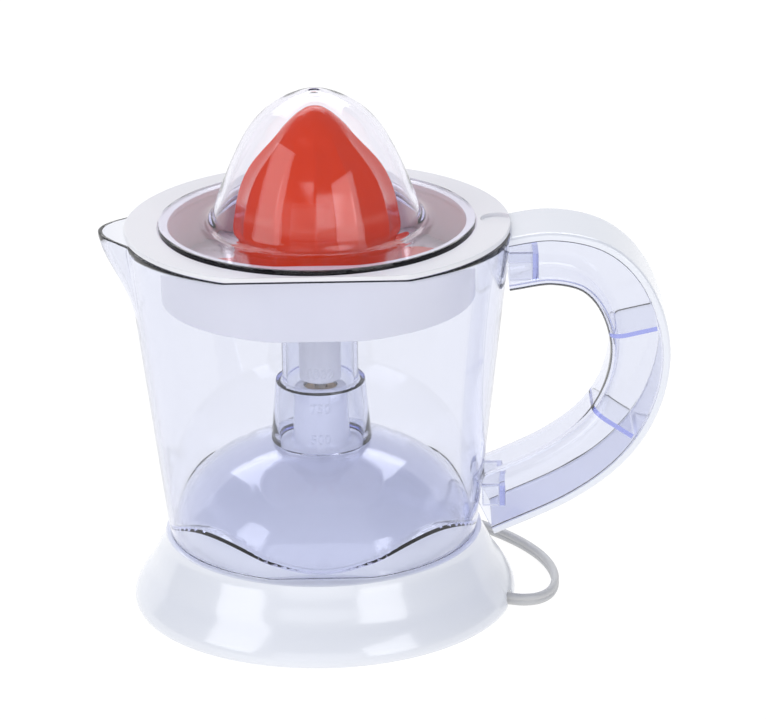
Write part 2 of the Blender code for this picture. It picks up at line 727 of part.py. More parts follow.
def make_switch(plastic, button, steel):
    """A small switch, worked by the lever that the thrust cup presses down."""
    px, pz = lever_pivot()
    lever_low = pz - 1.0 * MM
    body_top = lever_low - 1.6 * MM
    corners = (24.5 * MM, -3.5 * MM, 21 * MM), (44 * MM, 3.5 * MM, body_top)
    switch = box("micro_switch", *corners, plastic, bevel=0.4 * MM)
    for side in (-1, 1):
        y = side * 2.6 * MM
        low = (px - 2 * MM, y - 0.8 * MM, body_top - 1 * MM)
        ear = box(f"switch_ear_{side}", low, (px + 2 * MM, y + 0.8 * MM, pz + 2 * MM))
        join(switch, ear)
    pin_hole = wire("pin_hole", [(px, -6 * MM, pz), (px, 6 * MM, pz)], 0.7 * MM + GAP)
    cut(switch, curve_to_mesh(pin_hole))
    well = cylinder("plunger_well", 1.6 * MM, 29 * MM, 60 * MM, at=(28.5 * MM, 0), sides=16)
    cut(switch, well)
    plunger_top = lever_low - GAP
    cylinder("switch_plunger", 1.2 * MM, 30.6 * MM, plunger_top, button, (28.5 * MM, 0), 16)
    low = (5.6 * MM, -1.4 * MM, lever_low)
    lever = box("switch_lever", low, (px + 1.6 * MM, 1.4 * MM, pz + 1.2 * MM), steel)
    lever_hole = wire("lever_hole", [(px, -6 * MM, pz), (px, 6 * MM, pz)], 0.7 * MM + 0.15 * MM)
    cut(lever, curve_to_mesh(lever_hole))
    wire("lever_pin", [(px, -3.4 * MM, pz), (px, 3.4 * MM, pz)], 0.6 * MM, steel)


def hexagon(radius, height):
    """Outline of the driving dog, or of its socket, at a height."""
    return [(*polar(radius, radians(60 * side + 17)), height) for side in range(6)]


def make_drive(white, steel, brass):
    """Shaft with its plastic spindle, bushes, thrust cup and return spring."""
    shaft = d_bore("drive_shaft", SHAFT_RADIUS, SHAFT_FLAT, SHAFT_BOTTOM, SHAFT_TOP)
    shaft.data.materials.append(steel)
    profile = [
        (0, DOG_BOTTOM + 2 * MM), (DOG_RADIUS + 1 * MM, DOG_BOTTOM + 2 * MM), (SPINDLE_RADIUS, DOG_BOTTOM),
        (SPINDLE_RADIUS, SPINDLE_BOTTOM), (0, SPINDLE_BOTTOM),
    ]
    spindle = turned("drive_spindle", profile, white, 24)
    levels = [(DOG_RADIUS, DOG_BOTTOM), (DOG_RADIUS, DOG_TOP - 3 * MM), (DOG_RADIUS - 2 * MM, DOG_TOP)]
    join(spindle, section_sweep("dog", [hexagon(radius, height) for radius, height in levels]))
    cut(spindle, d_bore("spindle_bore", SHAFT_RADIUS + GAP, SHAFT_FLAT + GAP, 90 * MM, SHAFT_TOP + 1 * MM))
    ring("bush_bottom", SHAFT_RADIUS + 0.1 * MM, bush_radius(), FRAME_BOTTOM, frame_top() + 1.8 * MM, brass)
    upper = (TOWER_TOP - 12 * MM, TOWER_TOP - 1 * MM)
    ring("bush_top", SHAFT_RADIUS + 0.1 * MM, bush_bore() - GAP, *upper, brass)
    cup_top = CUP_BOTTOM + 2.9 * MM
    turned("thrust_cup", [
        (0, SHAFT_BOTTOM - GAP), (SHAFT_RADIUS + GAP, SHAFT_BOTTOM - GAP), (SHAFT_RADIUS + GAP, cup_top),
        (bush_radius() - 1 * MM, cup_top), (8.5 * MM, CUP_BOTTOM + 2 * MM), (8.5 * MM, CUP_BOTTOM),
        (2.2 * MM, CUP_BOTTOM), (2.2 * MM, 14.5 * MM), (0, 14 * MM),
    ], white, 24)
    turns, points = 5, 11
    low, high = SPRING_BOTTOM + 0.6 * MM, CUP_BOTTOM - GAP - 0.6 * MM
    route = []
    for step in range(turns * points + 1):
        share = step / (turns * points)
        x, y = polar(4.2 * MM, 2 * pi * turns * share)
        route.append((x, y, mix(low, high, share)))
    wire("return_spring", route, 0.5 * MM, steel)


# Jug and handle

def wave(angle):
    """Height of the floor's edge above its lowest: four low and four high places."""
    return WAVE_HEIGHT * (1 - cos(4 * angle)) / 2


def floor_rows(offset, wall_inset, low_edge):
    """Rings of the jug's floor from the wall inward, at an offset above the dome."""
    edge = ring_row(lambda a: jug_radius(a, low_edge + wave(a), wall_inset), lambda a: low_edge + wave(a))
    rows = [edge]
    for rise in DOME_ANGLES:
        radius, height = dome_point(rise, offset)
        inside = SLIP * (1 - sin(rise)) + 0.2 * MM
        rows.append(ring_row(
            lambda a, r=radius, d=inside: min(dome_plan(a, r), jug_radius(a, low_edge, wall_inset) - d),
            lambda a, h=height: max(h, low_edge + wave(a))))
    return rows


def make_jug(mat):
    """Clear jug: wall with a flat front and a spout, waved floor over the dome, chimney."""
    rim, wall = RIM_HEIGHT, JUG_WALL
    foot = SEAT_HEIGHT + GAP
    floor_under = SEAT_HEIGHT + 2.6 * MM
    heights = [rim - drop * MM for drop in (8, 17, 27, 36, 70, 108)]

    def lip(angle):
        return rim + LIP_RISE * spout_share(angle, rim)

    rows = [ring_row(lambda a: jug_radius(a, rim), lip)]
    rows += [ring_row(lambda a, h=h: jug_radius(a, h), lambda a, h=h: h) for h in heights]
    rows.append(ring_row(lambda a: wall_radius(a, foot), lambda a: foot))
    rows.append(ring_row(lambda a: wall_radius(a, foot, wall), lambda a: foot))
    rows += floor_rows(SLIP, wall, floor_under)
    neck_foot = dome_point(DOME_ANGLES[-1], SLIP)[1]
    rows += [
        round_row(CHIMNEY_FOOT - wall, neck_foot + 1.0 * MM),
        round_row(CHIMNEY_SHOULDER - wall, SHOULDER_HEIGHT - wall),
        round_row(CHIMNEY_NECK - wall, SHOULDER_HEIGHT - wall + 0.5 * MM),
        round_row(CHIMNEY_NECK - wall, CHIMNEY_TOP),
        round_row(CHIMNEY_NECK, CHIMNEY_TOP),
        round_row(CHIMNEY_NECK, SHOULDER_HEIGHT),
        round_row(CHIMNEY_SHOULDER, SHOULDER_HEIGHT),
    ]
    floor_top = floor_under + wall
    above = list(reversed(floor_rows(SLIP + wall, wall, floor_top)))
    rows.append(round_row(CHIMNEY_FOOT, dome_point(DOME_ANGLES[-1], SLIP + wall)[1] + 1.0 * MM))
    rows += above
    rows += [
        ring_row(lambda a, h=h: jug_radius(a, h, wall), lambda a, h=h: max(h, floor_top + wave(a) + MM))
        for h in reversed(heights)
    ]
    rows.append(ring_row(lambda a: jug_radius(a, rim, wall), lip))
    jug = tube_rows("jug", rows, mat)
    for name, low, high in handle_lugs():
        join(jug, box(name, low, high, bevel=0.8 * MM))
        inside = (low[0] + 3 * MM, low[1] + LUG_WALL, low[2] - MM)
        cut(jug, box(f"{name}_inside", inside, (high[0] - LUG_WALL, high[1] - LUG_WALL, high[2] + MM)))
    return jug


HANDLE_SPINE = [
    (80.0, 155.2), (100.0, 157.6), (118.5, 152.6), (131.0, 138.5), (137.0, 117.0),
    (133.6, 95.0), (122.0, 75.5), (101.5, 59.5), (69.0, 44.5),
]


def spine_frames():
    """Points along the handle's middle with their outward normals, in the XZ plane."""
    reach = HANDLE_REACH - HANDLE_DEPTH / 2
    shift = reach - max(x for x, z in HANDLE_SPINE) * MM
    points = []
    for x, z in HANDLE_SPINE:
        share = smooth_step((x * MM - FOOT_RADIUS) / (reach - FOOT_RADIUS))
        points.append(Vector((x * MM + shift * share, 0, z * MM)))
    smooth = catmull_rom(points, 3)
    frames = []
    for i, point in enumerate(smooth):
        along = smooth[min(i + 1, len(smooth) - 1)] - smooth[max(i - 1, 0)]
        frames.append((point, Vector((-along.z, 0, along.x)).normalized()))
    return frames


def handle_section(outline):
    """Carry an outline of (outward, sideways) points along the handle."""
    sections = []
    for point, normal in spine_frames():
        sections.append([point + normal * out + Vector((0, side, 0)) for out, side in outline])
    return sections


def channel_outline():
    """A U that opens outward, with rounded corners next to the hand."""
    half, deep, wall = HANDLE_WIDTH / 2, HANDLE_DEPTH / 2, HANDLE_WALL
    edge = deep - STRIP_THICKNESS - GAP
    outer = [(edge, -half), (-deep * 0.45, -half), (-deep * 0.82, -half * 0.86), (-deep, -half * 0.55)]
    inner = [
        (-deep + wall, half * 0.55 - wall * 0.5), (-deep * 0.82 + wall * 0.8, half * 0.86 - wall * 0.8),
        (-deep * 0.45 + wall * 0.4, half - wall), (edge, half - wall),
    ]
    outer += [(out, -side) for out, side in reversed(outer)]
    inner = [(out, side) for out, side in reversed(inner)]
    return outer + inner + [(out, -side) for out, side in reversed(inner)]


def rib_outline():
    """Outline of a stiffening plate: it fills the channel and ends inside its wall."""
    half, deep, sunk = HANDLE_WIDTH / 2, HANDLE_DEPTH / 2, HANDLE_WALL * 0.4
    edge = deep - STRIP_THICKNESS - GAP
    left = [
        (edge - MM, -half + sunk), (-deep * 0.45, -half + sunk),
        (-deep * 0.82 + sunk * 0.7, -half * 0.86 + sunk * 0.7), (-deep + sunk, -half * 0.55),
    ]
    return left + [(out, -side) for out, side in reversed(left)]


def strip_outline():
    """The cover strip, its outer corners eased."""
    half, deep = HANDLE_WIDTH / 2, HANDLE_DEPTH / 2
    low = deep - STRIP_THICKNESS
    right = [(low, half), (deep - 1.2 * MM, half)]
    right += [(deep - 0.3 * MM, half - 1.0 * MM), (deep, half - 2.6 * MM)]
    return right + [(out, -side) for out, side in reversed(right)]


def handle_lugs():
    """Two lugs on the jug, open above and below, that the ends of the channel slide over."""
    half = HANDLE_WIDTH / 2 - HANDLE_WALL - 2.6 * MM
    places = (("lug_top", 154.0 * MM, 6.0 * MM, 13.5 * MM), ("lug_low", 49.5 * MM, 4.5 * MM, 11.0 * MM))
    lugs = []
    for name, height, tall, reach in places:
        start = wall_radius(0, height) - 1.0 * MM
        lugs.append((name, (start, -half, height - tall), (start + reach, half, height + tall)))
    return lugs


def wall_cone(name):
    """Cutter of the jug's outside, so that the handle stands off the wall by the gap."""
    low, high = SEAT_HEIGHT - 20 * MM, RIM_HEIGHT + 20 * MM
    return cylinder(
        name, wall_radius(0, low) + GAP, low, high, sides=96, radius_top=wall_radius(0, high) + GAP,
        turn=pi / 96)


def make_handle(clear, white):
    """Clear channel with two stiffening ribs, and the white strip that closes it."""
    frame = section_sweep("handle_frame", handle_section(channel_outline()), clear)
    frames = spine_frames()
    for index, place in enumerate((11, 17)):
        point, normal = frames[place]
        along = normal.cross(Vector((0, 1, 0))) * MM
        sections = [
            [point + side * along + normal * out + Vector((0, across, 0)) for out, across in rib_outline()]
            for side in (-1, 1)
        ]
        join(frame, section_sweep(f"handle_rib_{index}", sections))
    cut(frame, wall_cone("wall_cone_frame"))
    strip = section_sweep("handle_cover", handle_section(strip_outline()), white)
    cut(strip, wall_cone("wall_cone_strip"))


# Strainer, sweeper, reamer and dust cover

def make_strainer(mat):
    """Collar on the jug's rim, drum, slotted sieve floor and the hub round the chimney."""
    bottom = RIM_HEIGHT + GAP
    top = bottom + COLLAR_THICKNESS
    hub_inner = CHIMNEY_NECK + SLIP
    hub_outer = hub_inner + HUB_WALL

    def drum(inset, height):
        return flat_row(DRUM_RADIUS - inset, DRUM_FLAT - inset, height)

    def collar(inset, height):
        return flat_row(COLLAR_RADIUS - inset, COLLAR_FLAT - inset, height)

    rows = [
        round_row(RECESS_RADIUS, top), collar(0.5 * MM, top), collar(0, top - 0.5 * MM), collar(0, bottom),
        drum(-0.5 * MM, bottom), drum(0, bottom - 0.5 * MM), drum(0, DRUM_BOTTOM),
        drum(DRUM_WALL, DRUM_BOTTOM), drum(DRUM_WALL, SIEVE_HEIGHT),
        round_row(hub_inner, SIEVE_HEIGHT), round_row(hub_inner, HUB_TOP),
        round_row(hub_outer, HUB_TOP), round_row(hub_outer, SIEVE_HEIGHT + SIEVE_THICKNESS),
        drum(DRUM_WALL, SIEVE_HEIGHT + SIEVE_THICKNESS), drum(DRUM_WALL, bottom - 3 * MM),
        drum(DRUM_WALL + 1.7 * MM, bottom - 1 * MM), drum(DRUM_WALL + 1.7 * MM, top - RECESS_DEPTH),
        round_row(RECESS_RADIUS, top - RECESS_DEPTH),
    ]
    strainer = tube_rows("strainer", rows, mat)
    inner, outer = hub_outer + 4 * MM, DRUM_FLAT - DRUM_WALL - 3 * MM
    for index in range(SIEVE_SLOTS):
        turn = 2 * pi * (index + 0.5) / SIEVE_SLOTS
        slot = box(
            f"sieve_slot_{index}", (inner, -0.9 * MM, SIEVE_HEIGHT - MM),
            (outer, 0.9 * MM, SIEVE_HEIGHT + SIEVE_THICKNESS + MM), turn=turn)
        cut(strainer, slot)
    thumb = turned("thumb_scoop", [(0, 7 * MM), (8 * MM, 7 * MM), (7.0 * MM, 0), (0, -0.4 * MM)], None, 24,
                   (COLLAR_RADIUS - 5.5 * MM, 2 * MM, top - 1.2 * MM))
    cut(strainer, thumb)
    return strainer


def sweeper_lug(gap=0.0, tall=0.0):
    """Driving lug of the sweeper, or with a gap, its notch in the reamer's skirt."""
    low = (REAMER_SKIRT - REAMER_WALL - 1.2 * MM - gap, -3 * MM - gap, sweeper_top() - 1 * MM)
    high = (REAMER_SKIRT + gap, 3 * MM + gap, REAMER_BOTTOM + 4 * MM + tall)
    return low, high


def sweeper_bottom():
    return SIEVE_HEIGHT + SIEVE_THICKNESS + GAP


def sweeper_top():
    return sweeper_bottom() + SWEEPER_THICKNESS


def make_sweeper(mat):
    """Ring round the strainer's hub with two broad arms and two driving lugs."""
    inner = CHIMNEY_NECK + SLIP + HUB_WALL + SLIP
    sweeper = ring("pulp_sweeper", inner, REAMER_SKIRT + 1.5 * MM, sweeper_bottom(), sweeper_top(), mat, 36)
    for index in range(2):
        turn = SWEEPER_ANGLE + pi * index
        outline = [(REAMER_SKIRT - 6 * MM, -ARM_HALF), (46 * MM, -ARM_HALF)]
        outline += [(SWEEPER_REACH - 2 * MM, -10 * MM)]
        tip = [(SWEEPER_REACH * cos(a), SWEEPER_REACH * sin(a)) for a in (radians(-6), 0, radians(6))]
        outline += tip + [(x, -y) for x, y in reversed(outline)]
        name = f"sweeper_arm_{index}"
        join(sweeper, outline_prism(name, outline, sweeper_bottom(), sweeper_top(), turn=turn))
        low, high = sweeper_lug()
        join(sweeper, box(f"sweeper_lug_{index}", low, high, turn=turn + pi / 2))
    return sweeper


REAMER_STEPS = 36
REAMER_OUTLINE = [           # radius and height of the ridges, in millimetres, from the nose down
    (4.6, 221.2), (10.9, 216.4), (18.0, 208.4), (23.4, 202.6), (28.0, 196.8), (31.5, 190.0),
    (34.0, 182.0), (35.2, 174.0), (36.0, 165.5),
]


def make_reamer(mat):
    """Fluted cone on a skirt, hollow below, with the hexagonal socket for the dog."""
    scale_r = REAMER_SKIRT / (REAMER_OUTLINE[-1][0] * MM)
    rise = REAMER_TOP - 222.6 * MM
    angles = [2 * pi * i / REAMER_STEPS - pi / 2 for i in range(REAMER_STEPS)]

    def row(radius, height, depth=0.0):
        points = []
        for a in angles:
            phase = (a + pi / 2) * RIDGES / (2 * pi) % 1.0
            r = radius - depth * (1 - abs(2 * phase - 1)) ** 0.8
            points.append((r * cos(a), r * sin(a), height))
        return points

    rows = [[(0, 0, REAMER_TOP)]]
    for index, (radius, height) in enumerate(REAMER_OUTLINE):
        share = smooth_step((index - 1) / 3) * smooth_step((len(REAMER_OUTLINE) - 0.6 - index) / 1.6)
        rows.append(row(radius * MM * scale_r, height * MM + rise, FLUTE_DEPTH * share))
    rows.append(row(REAMER_SKIRT, REAMER_BOTTOM))
    rows.append(row(REAMER_SKIRT - REAMER_WALL, REAMER_BOTTOM))
    for radius, height in ((33.4, 168.0), (29.0, 184.0), (22.0, 192.5), (12.0, 197.0)):
        rows.append(row(radius * MM * scale_r, height * MM + rise))
    socket = DOG_RADIUS + 2.6 * MM
    rows += [row(socket, SOCKET_TOP), row(socket, REAMER_BOTTOM - 2 * MM), [(0, 0, REAMER_BOTTOM - 2 * MM)]]
    reamer = tube_rows("reamer", rows, mat, closed=False)
    bore = DOG_RADIUS + 0.45 * MM
    cut(reamer, section_sweep("reamer_socket", [hexagon(bore, height) for height in (100 * MM, SOCKET_TOP)]))
    for index in range(2):
        low, high = sweeper_lug(0.5 * MM, PRESS_TRAVEL + 0.8 * MM)
        cut(reamer, box(f"reamer_notch_{index}", low, high, turn=SWEEPER_ANGLE + pi * index + pi / 2))
    return reamer


def make_dust_cover(mat):
    """Clear cover: flat flange in the collar's recess, swept up into a tall dome."""
    low = RIM_HEIGHT + GAP + COLLAR_THICKNESS - RECESS_DEPTH + GAP
    high = low + COVER_EDGE
    root = high + 1.6 * MM
    outer = [
        (0, COVER_TOP), (8 * MM, COVER_TOP - 1.3 * MM), (15 * MM, COVER_TOP - 4.6 * MM),
        (22 * MM, COVER_TOP - 9.6 * MM),
        (28.5 * MM, COVER_TOP - 17 * MM), (34 * MM, COVER_TOP - 27 * MM), (38.6 * MM, COVER_TOP - 37.5 * MM),
        (41.8 * MM, COVER_TOP - 46 * MM), (44.2 * MM, root + 2.6 * MM), (46.2 * MM, root), (49.6 * MM, high),
    ]
    rim = [(COVER_RADIUS - 0.5 * MM, high), (COVER_RADIUS, high - 0.5 * MM), (COVER_RADIUS, low)]
    inner = [
        (48.0 * MM, low), (44.6 * MM, low + 1.2 * MM), (42.0 * MM, root + 2.6 * MM),
        (39.6 * MM, COVER_TOP - 46.6 * MM), (36.6 * MM, COVER_TOP - 38.2 * MM),
        (32.2 * MM, COVER_TOP - 28 * MM), (27.0 * MM, COVER_TOP - 18.4 * MM),
        (20.8 * MM, COVER_TOP - 11.2 * MM), (14.2 * MM, COVER_TOP - 6.5 * MM),
        (7.6 * MM, COVER_TOP - 3.2 * MM), (0, COVER_TOP - COVER_WALL),
    ]
    return turned("dust_cover", outer + rim + inner, mat, 36)


# Cord

def gland_point(distance, height):
    x, y = polar(distance, GLAND_ANGLE)
    return Vector((x, y, height))


def make_cord(grey, metal):
    """Strain relief, the free run of the lead, its coil, and the plug that lies on it."""
    tip = GLAND_START + GLAND_LENGTH
    bm = bmesh.new()
    bmesh.ops.create_cone(
        bm, cap_ends=True, segments=16, radius1=GLAND_RADIUS, radius2=CORD_WIDTH / 2 + 0.4 * MM,
        depth=GLAND_LENGTH)
    level = GLAND_LEVEL
    turn = Matrix.Translation(gland_point((GLAND_START + tip) / 2, level)) @ Matrix.Rotation(
        GLAND_ANGLE, 4, "Z") @ Matrix.Rotation(pi / 2, 4, "Y")
    bmesh.ops.transform(bm, matrix=turn, verts=bm.verts)
    mesh_object("cord_gland", bm, grey)

    route = [gland_point(tip + GAP, level - 0.2 * MM)]
    for index, (x, y) in enumerate(CORD_ROUTE):
        settled = min(1.0, CORD_SETTLE * index)
        route.append(Vector((x * MM, y * MM, mix(level - 0.4 * MM, CORD_LIE, settled))))
    cx, cy = COIL_CENTRE
    half, tall = CORD_WIDTH + 0.4 * MM, 2 * CORD_WIDTH + 0.3 * MM
    route.append(Vector((cx + COIL_RADIUS + half + GAP + CORD_WIDTH / 2, cy - 10.5 * MM, CORD_LIE)))
    wire("cord", catmull_rom(route, 3), CORD_WIDTH / 2, grey)
    ring("cord_coil", COIL_RADIUS - half, COIL_RADIUS + half, GAP, GAP + tall, grey, 36, (cx, cy, 0))
    top = GAP + tall + GAP
    px, py = PLUG_PLACE
    high = (4 * MM, 9 * MM, top + 15 * MM)
    box("plug_body", (-26 * MM, -9 * MM, top), high, grey, (px, py, 0), bevel=2.5 * MM)
    for index, side in enumerate((-1, 1), 1):
        middle = side * 6.3 * MM
        low = (4 * MM + GAP, middle - 0.8 * MM, top + 4.5 * MM)
        high = (21 * MM, middle + 0.8 * MM, top + 10.8 * MM)
        box(f"plug_blade_{index}", low, high, metal, (px, py, 0))


def build():
    clear_scene()
    white = material("white_gloss_plastic", (0.80, 0.81, 0.84), 0.25)
    strainer_white = material("white_strainer_plastic", (0.80, 0.80, 0.82), 0.35)
    gear_white = material("white_gear_plastic", (0.72, 0.72, 0.68), 0.45)
    clear = material("clear_lavender_plastic", (0.78, 0.80, 0.95), 0.05, 0.0, 0.35)
    orange = material("orange_plastic", (0.80, 0.12, 0.03), 0.3)
    steel = material("steel", (0.55, 0.55, 0.56), 0.3, 1.0)
    brass = material("sintered_bronze", (0.45, 0.30, 0.15), 0.45, 1.0)
    laminated = material("laminated_steel", (0.30, 0.31, 0.33), 0.5, 1.0)
    copper = material("enamelled_copper", (0.55, 0.22, 0.08), 0.35, 0.9)
    black = material("black_plastic", (0.03, 0.03, 0.03), 0.4)
    ferrite = material("ferrite", (0.06, 0.06, 0.07), 0.6)
    rubber = material("rubber", (0.20, 0.20, 0.21), 0.8)
    grey = material("grey_cord_plastic", (0.60, 0.60, 0.60), 0.45)

    make_base_housing(white)
    make_base_plate(strainer_white)
    make_feet(rubber)
    make_base_screws(steel)
    make_gears(gear_white, steel)
    make_gear_frame(strainer_white)
    make_gearbox_cover(strainer_white)
    make_motor(laminated, copper, black, ferrite, steel)
    make_switch(black, orange, steel)
    make_drive(gear_white, steel, brass)
    make_jug(clear)
    make_handle(clear, white)
    make_strainer(strainer_white)
    make_sweeper(orange)
    make_reamer(orange)
    make_dust_cover(clear)
    make_cord(grey, steel)


build()
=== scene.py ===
from math import cos, pi, radians, sin

import bmesh
import bpy
import numpy as np
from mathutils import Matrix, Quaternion, Vector


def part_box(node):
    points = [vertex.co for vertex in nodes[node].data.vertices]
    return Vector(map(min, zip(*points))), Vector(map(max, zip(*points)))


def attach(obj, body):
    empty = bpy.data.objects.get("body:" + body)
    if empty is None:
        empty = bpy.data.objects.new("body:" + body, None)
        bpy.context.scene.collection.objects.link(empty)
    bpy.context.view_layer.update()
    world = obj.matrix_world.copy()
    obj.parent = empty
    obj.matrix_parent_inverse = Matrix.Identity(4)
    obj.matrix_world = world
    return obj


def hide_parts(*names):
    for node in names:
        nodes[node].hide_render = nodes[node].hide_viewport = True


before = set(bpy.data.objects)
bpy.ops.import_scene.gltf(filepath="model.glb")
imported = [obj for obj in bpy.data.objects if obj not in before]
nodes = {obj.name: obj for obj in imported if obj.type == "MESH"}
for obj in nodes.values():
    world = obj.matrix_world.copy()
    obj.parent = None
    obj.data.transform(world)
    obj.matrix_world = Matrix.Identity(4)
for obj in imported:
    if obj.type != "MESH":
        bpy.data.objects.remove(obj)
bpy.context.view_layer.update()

# The studio: a white table that is lit from within as well as from above, four soft boxes, a
# backdrop of the table's paper, and a long lens that looks down on the flat front of the jug.

MM = 0.001
base_low, base_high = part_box("base_housing")
AXIS = (base_low.x + base_high.x) / 2    # the drive axis stands at this x, and at y = 0

lens = bpy.data.cameras.new("lens")
lens.lens = 199.4
lens.sensor_width = 36.0
lens.clip_start = 0.1
lens.clip_end = 30.0
camera = bpy.data.objects.new("camera", lens)
bpy.context.scene.collection.objects.link(camera)
stand = Vector((AXIS + 27.1 * MM, -1.7099, 0.7510))
aim = Vector((AXIS + 27.1 * MM, 0.0, 0.1081))
camera.location = stand
camera.rotation_mode = "QUATERNION"
camera.rotation_quaternion = (aim - stand).to_track_quat("-Z", "Y") @ Quaternion((0, 0, 1), radians(-1.0))
bpy.context.scene.camera = camera
bpy.context.scene.view_settings.view_transform = "Standard"
bpy.context.scene.cycles.max_bounces = 32
bpy.context.scene.cycles.transmission_bounces = 32
bpy.context.scene.cycles.transparent_max_bounces = 32


def soft_box(name, place, towards, width, height, radiance):
    """An area lamp of a given size and brightness, turned towards a point."""
    lamp = bpy.data.lights.new(name, "AREA")
    lamp.shape = "RECTANGLE"
    lamp.size = width
    lamp.size_y = height
    lamp.energy = radiance * pi * width * height
    holder = bpy.data.objects.new(name, lamp)
    holder.location = place
    holder.rotation_mode = "QUATERNION"
    holder.rotation_quaternion = (Vector(towards) - Vector(place)).to_track_quat("-Z", "Y")
    holder.visible_camera = False
    bpy.context.scene.collection.objects.link(holder)


MIDDLE = (AXIS, 0, 0.12)
soft_box("soft_box_left", (-1.25, -0.75, 0.85), MIDDLE, 0.9, 1.1, 3.0)
soft_box("soft_box_right", (1.00, -1.25, 0.60), MIDDLE, 0.9, 0.9, 3.2)
soft_box("soft_box_behind", (-0.10, 1.10, 1.35), MIDDLE, 1.8, 1.0, 2.8)
soft_box("soft_box_front", (-0.15, -1.60, 0.42), MIDDLE, 1.5, 0.9, 0.9)

world = bpy.data.worlds.new("room")
bpy.context.scene.world = world
world.use_nodes = True
world.node_tree.nodes.clear()


class Signal:
    """A socket among a material's nodes. Arithmetic on it adds Math nodes; node() adds any other."""

    def __init__(self, tree, socket=None):
        self.tree = tree
        self.socket = socket

    def node(self, kind, settings=None, sockets=None):
        """Add a node: its settings first, then its sockets, from values or from other signals."""
        made = self.tree.nodes.new("ShaderNode" + kind)
        for key, value in (settings or {}).items():
            setattr(made, key, value)
        for key, value in (sockets or {}).items():
            if isinstance(value, Signal):
                self.tree.links.new(value.socket, made.inputs[key])
            else:
                made.inputs[key].default_value = value
        return Signal(self.tree, made.outputs[0] if made.outputs else None)

    def out(self, name):
        """Another output of the same node."""
        return Signal(self.tree, self.socket.node.outputs[name])

    def math(self, operation, *values):
        return self.node("Math", {"operation": operation}, dict(enumerate(values)))

    def __add__(self, other):
        return self.math("ADD", self, other)

    def __mul__(self, other):
        return self.math("MULTIPLY", self, other)

    def blend(self, first, second):
        """The first colour where this signal is 0, the second where it is 1."""
        sockets = {0: self, 6: first, 7: second}
        mixed = self.node("Mix", {"data_type": "RGBA"}, sockets)
        return Signal(self.tree, mixed.socket.node.outputs[2])

    __radd__ = __add__
    __rmul__ = __mul__


room = Signal(world.node_tree)
seen = room.node("LightPath").out("Is Camera Ray")
dim = room.node("Background", None, {"Color": (0.76, 0.82, 1.0, 1), "Strength": 0.40})
bright = room.node("Background", None, {"Color": (1, 1, 1, 1), "Strength": 1.05})
room.node("OutputWorld", None, {"Surface": room.node("MixShader", None, {0: seen, 1: dim, 2: bright})})


def new_finish(name):
    """An empty material, and the signal that its nodes grow from."""
    made = bpy.data.materials.new(name)
    made.use_nodes = True
    made.node_tree.nodes.clear()
    return made, Signal(made.node_tree)


table_finish, here = new_finish("table_paper")
paper = here.node("BsdfPrincipled", None, {
    "Base Color": (0.14, 0.14, 0.14, 1), "Roughness": 0.9, "Specular IOR Level": 0.0,
    "Emission Color": (1, 1, 1, 1), "Emission Strength": 0.93})
here.node("OutputMaterial", None, {"Surface": paper})


def sheet(name, corners):
    """A flat sheet of the table's paper, as part of the stage."""
    mesh = bpy.data.meshes.new(name)
    mesh.from_pydata(corners, [], [(0, 1, 2, 3)])
    mesh.materials.append(table_finish)
    made = bpy.data.objects.new(name, mesh)
    bpy.context.scene.collection.objects.link(made)


sheet("table", [(-8, -8, 0), (8, -8, 0), (8, 8, 0), (-8, 8, 0)])
sheet("backdrop", [(-6, 3.5, 0), (6, 3.5, 0), (6, 3.5, 3), (-6, 3.5, 3)])


# The lead: a flat twin flex in soft light grey plastic, 5.4 mm wide and 3.4 mm thick with a
# groove between its two cores. It lies on its edge, and what isn't used is wound up behind
# the base in two layers, the plug lying on them.

CORD_WIDTH = 5.4 * MM
CORD_THICKNESS = 3.4 * MM
GLAND_ANGLE = radians(-14.0)
GLAND_START = 52.0 * MM
GLAND_LENGTH = 24.0 * MM
GLAND_LEVEL = 4.4 * MM
GAP = 0.3 * MM
CORD_LIE = CORD_WIDTH / 2 + GAP
CORD_ROUTE = [               # in millimetres, seen from above, after the gland
    (80.0, -20.2), (86.5, -21.0), (93.0, -18.6), (98.0, -12.6), (100.6, -3.6),
    (101.0, 6.6), (99.2, 18.0), (95.0, 30.0), (88.5, 42.0), (80.0, 53.5),
    (70.0, 64.5), (59.0, 75.5), (48.6, 87.0), (40.0, 99.0), (35.0, 109.0),
]
COIL_CENTRE = np.array((-6.0, 128.0)) * MM
COIL_RADII = (32.7 * MM, 27.3 * MM)
COIL_LEVELS = (CORD_LIE, 8.5 * MM)
COIL_TURNS = 3.54            # from where the free run meets the coil to the left of its last turn
COIL_POINTS = 48             # a turn
LEAD_IN_RADIUS = 22.0 * MM   # of the bend that leaves the coil for the plug
PLUG_BACK = -7.4 * MM        # from the coil's middle to the back of the plug
PLUG_LEVEL = 19.2 * MM


def smooth(value):
    """0 below 0, 1 above 1, and between them a curve that is level at both ends."""
    value = np.clip(value, 0.0, 1.0)
    return value * value * (3 - 2 * value)


def mix(a, b, share):
    return a + (b - a) * share


def through(points, steps):
    """A curve through points: between two, the cubic that leans at its ends as the next points do."""
    points = np.asarray(points, float)
    ends = np.vstack([2 * points[:1] - points[1:2], points, 2 * points[-1:] - points[-2:-1]])
    t = np.linspace(0, 1, steps, endpoint=False)[None, :, None]
    a, b, c, d = (ends[i:i + len(points) - 1][:, None] for i in range(4))
    curve = (2 * b + (c - a) * t + (2 * a - 5 * b + 4 * c - d) * t ** 2
        + (3 * b - a - 3 * c + d) * t ** 3) / 2
    return np.vstack([curve.reshape(-1, points.shape[1]), points[-1:]])


